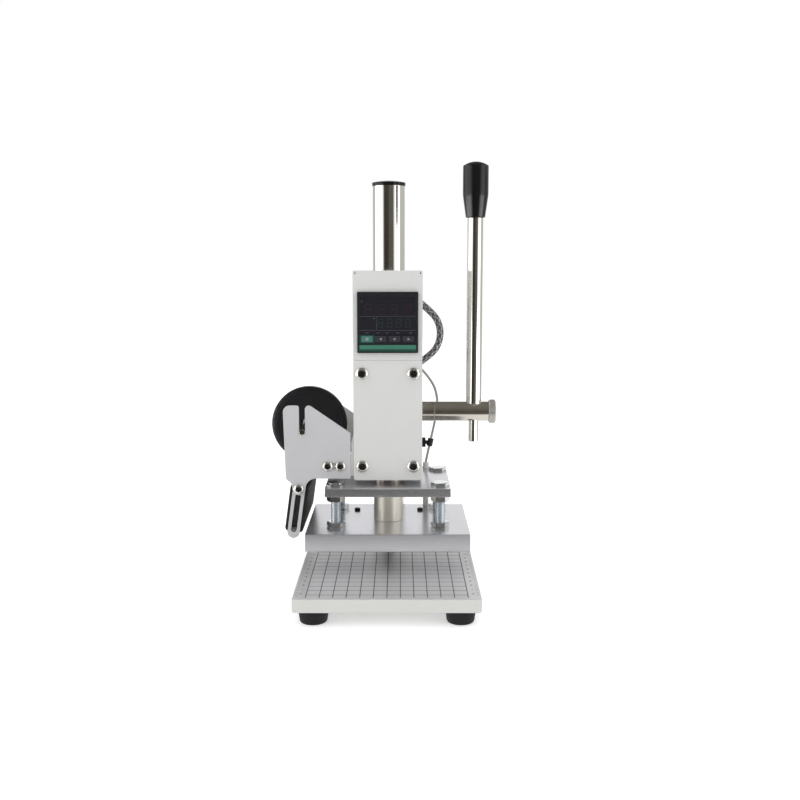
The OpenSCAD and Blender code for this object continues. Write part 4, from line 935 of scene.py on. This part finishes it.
endCap = {
    "wide": 19.8, "thick": 6.0, "stem": 8.0, "stemLong": 5.9, "edge": 0.7, "face": 5.0,
    "ridges": 44, "ridgeHigh": 0.35, "ridgeSide": 0.12, "ridgeEdge": 0.08,
}
capRadius = endCap["wide"] / 2 - endCap["ridgeHigh"]
rings = [(endCap["stem"] / 2, -endCap["stemLong"]), (endCap["stem"] / 2, 0), (capRadius - endCap["edge"], 0)]
rings += [(capRadius, endCap["edge"]), (capRadius, endCap["thick"] - endCap["edge"])]
rings += [(capRadius - endCap["edge"], endCap["thick"]), (endCap["face"], endCap["thick"])]
cap = turned(rings, 2 * endCap["ridges"])


def onKnurl(face):
    # the upright faces round the cap's rim
    radial = math.hypot(face.normal.x, face.normal.y) > 0.99
    return radial and math.hypot(face.center.x, face.center.y) > 0.9 * capRadius * mm


sides = [face for face in cap.data.polygons if onKnurl(face)]
sides.sort(key=lambda face: math.atan2(face.center.y, face.center.x))
raised = {face.index for face in sides[::2]}
openFaces(cap, lambda face: face.index in raised)
bpy.ops.mesh.inset(
    thickness=endCap["ridgeSide"] * mm, depth=endCap["ridgeHigh"] * mm, use_individual=True)
closeEdit()
softenEdges(cap, endCap["ridgeEdge"], 1)
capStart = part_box("end_cap")[1].x / mm - endCap["thick"]
place(cap, (capStart, midOf("end_cap")[1], midOf("end_cap")[2]), rightTurn)
seat(cap, "end_cap_knurled", knurledSteel, "lever", "bright_steel", "end_cap")
print("lever made")


# return spring inside the head
spring = {"wire": 0.9, "turns": 4, "steps": 24, "sides": 10, "clear": 0.15}
springLow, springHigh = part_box("return_spring")
springMiddle = midOf("return_spring")
coilRadius = (springHigh.z - springLow.z) / mm / 2 - spring["wire"] - spring["clear"]
coilLong = (springHigh.x - springLow.x) / mm - 2 * spring["wire"]
coilSteps = spring["turns"] * spring["steps"]
ahead = Vector((1, 0, 0))
coil = []
for i in range(coilSteps + 1):
    angle = 2 * math.pi * i / spring["steps"]
    x = springLow.x / mm + spring["wire"] + coilLong * i / coilSteps
    outward = Vector((0, math.cos(angle), math.sin(angle)))
    centre = Vector((x, springMiddle[1], springMiddle[2])) + coilRadius * outward
    ring = []
    for k in range(spring["sides"]):
        swing = 2 * math.pi * k / spring["sides"]
        ring.append(centre + spring["wire"] * (math.cos(swing) * outward + math.sin(swing) * ahead))
    coil.append(ring)
returnSpring = tubeMesh("return_spring_wound", coil)
turnOutwards(returnSpring)
smoothBy(returnSpring, 50)
seat(returnSpring, "return_spring_wound", machineSteel, "head", "dark_steel", "return_spring")

# controller front: unlit digits, dividers, marks, stripe and key signs, printed a hair proud
front = {
    "ink": 0.06, "slant": 6.0, "barGap": 0.12, "barPoint": 0.42, "pointOut": 0.8,
    "upper": {"wide": 5.4, "high": 8.6, "stroke": 1.0, "x": 0.2, "z": 208.4, "pitch": 10.4},
    "lower": {"wide": 4.3, "high": 7.2, "stroke": 0.75, "x": 5.1, "z": 197.6, "pitch": 7.2},
    "digits": 4, "line": 0.3, "upperLine": 202.9, "lowerLine": 191.8, "lineWide": 44.0, "upright": -8.8,
    "uprightShort": 1.2, "markRow": 189.9, "marks": (-16.3, -7.7, -0.5, 8.1, 18.0), "markSize": (2.6, 0.5),
    "dots": ((-20.3, 214.6), (-10.6, 201.2)), "dotSize": (1.0, 1.0),
    "stripe": (44.6, 3.4), "stripeMiddle": 178.6, "ground": (12.0, 6.4), "groundRim": 0.3,
    "underStripe": (45.6, 1.5), "underMiddle": 175.9, "sign": 1.35,
}
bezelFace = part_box("controller")[0].y / mm
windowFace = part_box("controller_window")[0].y / mm


def slab(wide, high, x, z, face):
    # a thin printed field that faces the user
    return block((wide, front["ink"], high), (x, face - front["ink"] / 2, z))


def digitBars(row):
    # seven bars and a point, as flat blocks
    wide, high, stroke = row["wide"], row["high"], row["stroke"]
    gap = front["barGap"] * stroke
    across = wide - stroke - 2 * gap
    tall = (high - stroke) / 2 - 2 * gap
    bars = []
    for z in (-(high - stroke) / 2, 0, (high - stroke) / 2):
        bars.append(block((across, front["ink"], stroke), (0, 0, z)))
    for x in (-(wide - stroke) / 2, (wide - stroke) / 2):
        for z in (-(high - stroke) / 4, (high - stroke) / 4):
            bars.append(block((stroke, front["ink"], tall), (x, 0, z)))
    pointX = wide / 2 + front["pointOut"] * stroke
    bars.append(block((stroke, front["ink"], stroke), (pointX, 0, -(high - stroke) / 2)))
    return joined(bars)


def digitRow(row):
    # the bars' ends are bevelled to points, and the digits leaned
    digit = digitBars(row)
    bevel = digit.modifiers.new("points", "BEVEL")
    bevel.width = front["barPoint"] * row["stroke"] * mm
    bevel.segments = 1
    bevel.limit_method = "WEIGHT"
    weights = digit.data.attributes.new("bevel_weight_edge", "FLOAT", "EDGE")
    for edge in digit.data.edges:
        ends = [digit.data.vertices[index].co for index in edge.vertices]
        weights.data[edge.index].value = 1.0 if abs(ends[0].y - ends[1].y) > 0.5 * front["ink"] * mm else 0.0
    applyModifiers(digit)
    lean = math.tan(math.radians(front["slant"]))
    for vertex in digit.data.vertices:
        vertex.co.x += lean * vertex.co.z
    spots = []
    for i in range(front["digits"]):
        x = row["x"] + (i - (front["digits"] - 1) / 2) * row["pitch"]
        spots.append(((x, windowFace - front["ink"] / 2, row["z"]), (0, 0, 0)))
    return spread(digit, spots)


seat(digitRow(front["upper"]), "upper_digits", digitRed, "head", "display_window")
seat(digitRow(front["lower"]), "lower_digits", digitGreen, "head", "display_window")

lines = [
    slab(front["lineWide"], front["line"], 0, front["upperLine"], windowFace),
    slab(front["lineWide"], front["line"], 0, front["lowerLine"], windowFace),
    slab(front["line"], front["upperLine"] - front["lowerLine"] - front["uprightShort"], front["upright"],
         (front["upperLine"] + front["lowerLine"]) / 2, windowFace),
]
seat(joined(lines), "display_lines", printGrey, "head", "display_window")
marks = [slab(*front["markSize"], x, front["markRow"], windowFace) for x in front["marks"]]
marks += [slab(*front["dotSize"], x, z, windowFace) for x, z in front["dots"]]
seat(joined(marks), "display_marks", printGrey, "head", "display_window")
stripe = slab(*front["stripe"], 0, front["stripeMiddle"], bezelFace)
seat(stripe, "controller_stripe", printTeal, "head", "controller_case")
under = slab(*front["underStripe"], 0, front["underMiddle"], bezelFace)
seat(under, "controller_under_stripe", printDeep, "head", "controller_case")

# four printed strips round the set key
keyX, keyZ = midOf("set_key")[0], midOf("set_key")[2]
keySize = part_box("set_key")[1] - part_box("set_key")[0]
groundWide, groundHigh = front["ground"]
holeWide = keySize.x / mm + front["groundRim"]
stripWide = (groundWide - holeWide) / 2
stripHigh = (groundHigh - keySize.z / mm - front["groundRim"]) / 2
strips = []
for way in (-1, 1):
    strips.append(slab(stripWide, groundHigh, keyX + way * (groundWide - stripWide) / 2, keyZ, bezelFace))
    strips.append(slab(holeWide, stripHigh, keyX, keyZ + way * (groundHigh - stripHigh) / 2, bezelFace))
seat(joined(strips), "set_key_ground", printDeep, "head", "controller_case")


def keySign(node, corners, turn):
    # a small sign on a key: a dot for set, arrowheads for the others
    x, z = midOf(node)[0], midOf(node)[2]
    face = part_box(node)[0].y / mm
    pickNone()
    bpy.ops.mesh.primitive_circle_add(vertices=corners, radius=front["sign"] * mm, fill_type="NGON")
    piece = bpy.context.object
    openAll(piece)
    bpy.ops.mesh.extrude_region_move(TRANSFORM_OT_translate={"value": (0, 0, front["ink"] * mm)})
    closeEdit()
    turnOutwards(piece)
    place(piece, (0, 0, 0), (0, 0, turn))
    place(piece, (x, face, z), frontTurn)
    seat(piece, node + "_sign", printPale, node, "controller_case")


keySign("set_key", 24, 0)
keySign("shift_key", 3, 90)
keySign("down_key", 3, 180)
keySign("up_key", 3, 0)
print("controller front printed")


# floor, light and backdrop
def fadeOver(tree, colour, value, span, nextColour):
    # one colour turns into the next where the value crosses the span
    share = addNode(tree, "ShaderNodeMapRange", {"Value": value, "From Min": span[0], "From Max": span[1]})
    mix = addNode(tree, "ShaderNodeMix", {0: share.outputs[0], 6: colour, 7: nextColour}, data_type="RGBA")
    return mix.outputs[2]


def nearColour(tree, rightward):
    # the dark room in front, darker on its left
    return fadeOver(tree, linear(room["nearLeft"]), rightward, room["halves"], linear(room["nearRight"]))


def roomColour(tree, way, panelLight):
    # what metal mirrors in a direction: dark in front, a bright panel at each side, grey behind
    rightward, backward, upward = way.outputs
    panel = (panelLight, panelLight, panelLight, 1)
    colour = nearColour(tree, rightward)
    colour = fadeOver(tree, colour, upward, room["rise"], linear(room["high"]))
    colour = fadeOver(tree, colour, rightward, room["left"], panel)
    colour = fadeOver(tree, colour, rightward, room["right"], panel)
    behind = addNode(
        tree, "ShaderNodeMath", {0: rightward, 1: room["lean"], 2: backward}, operation="MULTIPLY_ADD")
    rear = fadeOver(tree, colour, behind.outputs[0], room["back"], linear(room["rear"]))
    return fadeOver(tree, colour, upward, room["low"], rear)


# metal shows bright panels at both sides, a grey room behind with a white wall in its middle, a white table
# and the dark room before the table; each span is where one fades into the next, as shares of a direction,
# and in m for the table's edge and the far floor
room = {
    "nearLeft": "#37332E", "nearRight": "#5C5953", "halves": (-0.12, 0.14), "high": "#75736F",
    "rear": "#C4C4BF", "left": (-0.54, -0.84), "right": (0.52, 0.82), "back": (0.02, 0.26), "lean": 0.25,
    "rise": (0.0, 0.9), "low": (0.55, 0.25), "wall": (0.9, 0.96), "table": (-0.262, -0.175),
    "far": (0.4, 0.7), "panelLight": 1.9, "floorLight": 6.0, "daylight": 0.8,
}
white = linear("#FFFFFF")
floorLook = {"size": 6.0, "level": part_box("feet")[0].z, "paper": "#F2F2F2", "rough": 0.9, "glow": 0.45}
pickNone()
bpy.ops.mesh.primitive_plane_add(size=floorLook["size"], location=(0, 0, floorLook["level"]))
floor = bpy.context.object
floor.name = "studioFloor"
floorPaper = bpy.data.materials.new("paleFloor")
floorPaper.use_nodes = True
tree = floorPaper.node_tree
shader = tree.nodes["Principled BSDF"]
shader.inputs["Base Color"].default_value = linear(floorLook["paper"])
shader.inputs["Roughness"].default_value = floorLook["rough"]
ray = addNode(tree, "ShaderNodeLightPath")
glowLevel = addNode(
    tree, "ShaderNodeMath", {0: ray.outputs["Is Camera Ray"], 1: floorLook["glow"]}, operation="MULTIPLY")
glow = addNode(tree, "ShaderNodeEmission", {"Color": white, "Strength": glowLevel.outputs[0]})
paper = addNode(tree, "ShaderNodeAddShader", {0: shader.outputs[0], 1: glow.outputs[0]})
spot = addNode(tree, "ShaderNodeTexCoord").outputs["Object"]
across = addNode(tree, "ShaderNodeSeparateXYZ", {0: spot})
distance = addNode(tree, "ShaderNodeVectorMath", {0: spot}, operation="LENGTH").outputs["Value"]
outward = addNode(tree, "ShaderNodeVectorMath", {0: spot}, operation="NORMALIZE").outputs["Vector"]
way = addNode(tree, "ShaderNodeSeparateXYZ", {0: outward})
table = fadeOver(tree, nearColour(tree, way.outputs["X"]), across.outputs["Y"], room["table"], white)
farFloor = roomColour(tree, way, room["floorLight"])
floorColour = fadeOver(tree, table, distance, room["far"], farFloor)
mirrored = addNode(tree, "ShaderNodeEmission", {"Color": floorColour})
surface = addNode(
    tree, "ShaderNodeMixShader",
    {0: ray.outputs["Is Glossy Ray"], 1: paper.outputs[0], 2: mirrored.outputs[0]},
)
tree.links.new(surface.outputs[0], tree.nodes["Material Output"].inputs["Surface"])
floor.data.materials.append(floorPaper)

# soft lamps, place and size in m, power in W
lamps = [
    {"name": "keyPanel", "place": (-0.9, -0.9, 1.1), "size": 0.9, "power": 2.1},
    {"name": "fillPanel", "place": (1.0, -0.8, 0.7), "size": 0.8, "power": 1.3},
    {"name": "frontPanel", "place": (-0.05, -1.3, 0.4), "size": 0.5, "power": 1.8},
    {"name": "topPanel", "place": (0.0, 0.2, 1.4), "size": 1.0, "power": 2.9},
]
aim = Vector((0, 0, 0.12))
for lamp in lamps:
    pickNone()
    bpy.ops.object.light_add(type="AREA", location=lamp["place"])
    light = bpy.context.object
    light.name = lamp["name"]
    light.data.size = lamp["size"]
    light.data.energy = lamp["power"]
    light.visible_glossy = False
    light.rotation_euler = (Vector(lamp["place"]) - aim).to_track_quat("Z", "Y").to_euler()

world = bpy.data.worlds.new("studio")
bpy.context.scene.world = world
world.use_nodes = True
tree = world.node_tree
outward = addNode(tree, "ShaderNodeTexCoord").outputs["Generated"]
way = addNode(tree, "ShaderNodeSeparateXYZ", {0: outward})
around = roomColour(tree, way, room["panelLight"])
around = fadeOver(tree, around, way.outputs["Y"], room["wall"], white)
mirrored = addNode(tree, "ShaderNodeBackground", {"Color": around, "Strength": 1.0})
daylight = addNode(tree, "ShaderNodeBackground", {"Color": white, "Strength": room["daylight"]})
seen = addNode(tree, "ShaderNodeBackground", {"Color": white, "Strength": 1.0})
ray = addNode(tree, "ShaderNodeLightPath")
unseen = addNode(
    tree, "ShaderNodeMixShader",
    {0: ray.outputs["Is Glossy Ray"], 1: daylight.outputs[0], 2: mirrored.outputs[0]},
)
studio = addNode(
    tree, "ShaderNodeMixShader",
    {0: ray.outputs["Is Camera Ray"], 1: unseen.outputs[0], 2: seen.outputs[0]},
)
tree.links.new(studio.outputs[0], tree.nodes["World Output"].inputs["Surface"])
bpy.context.scene.view_settings.view_transform = "Standard"
print("studio lit")
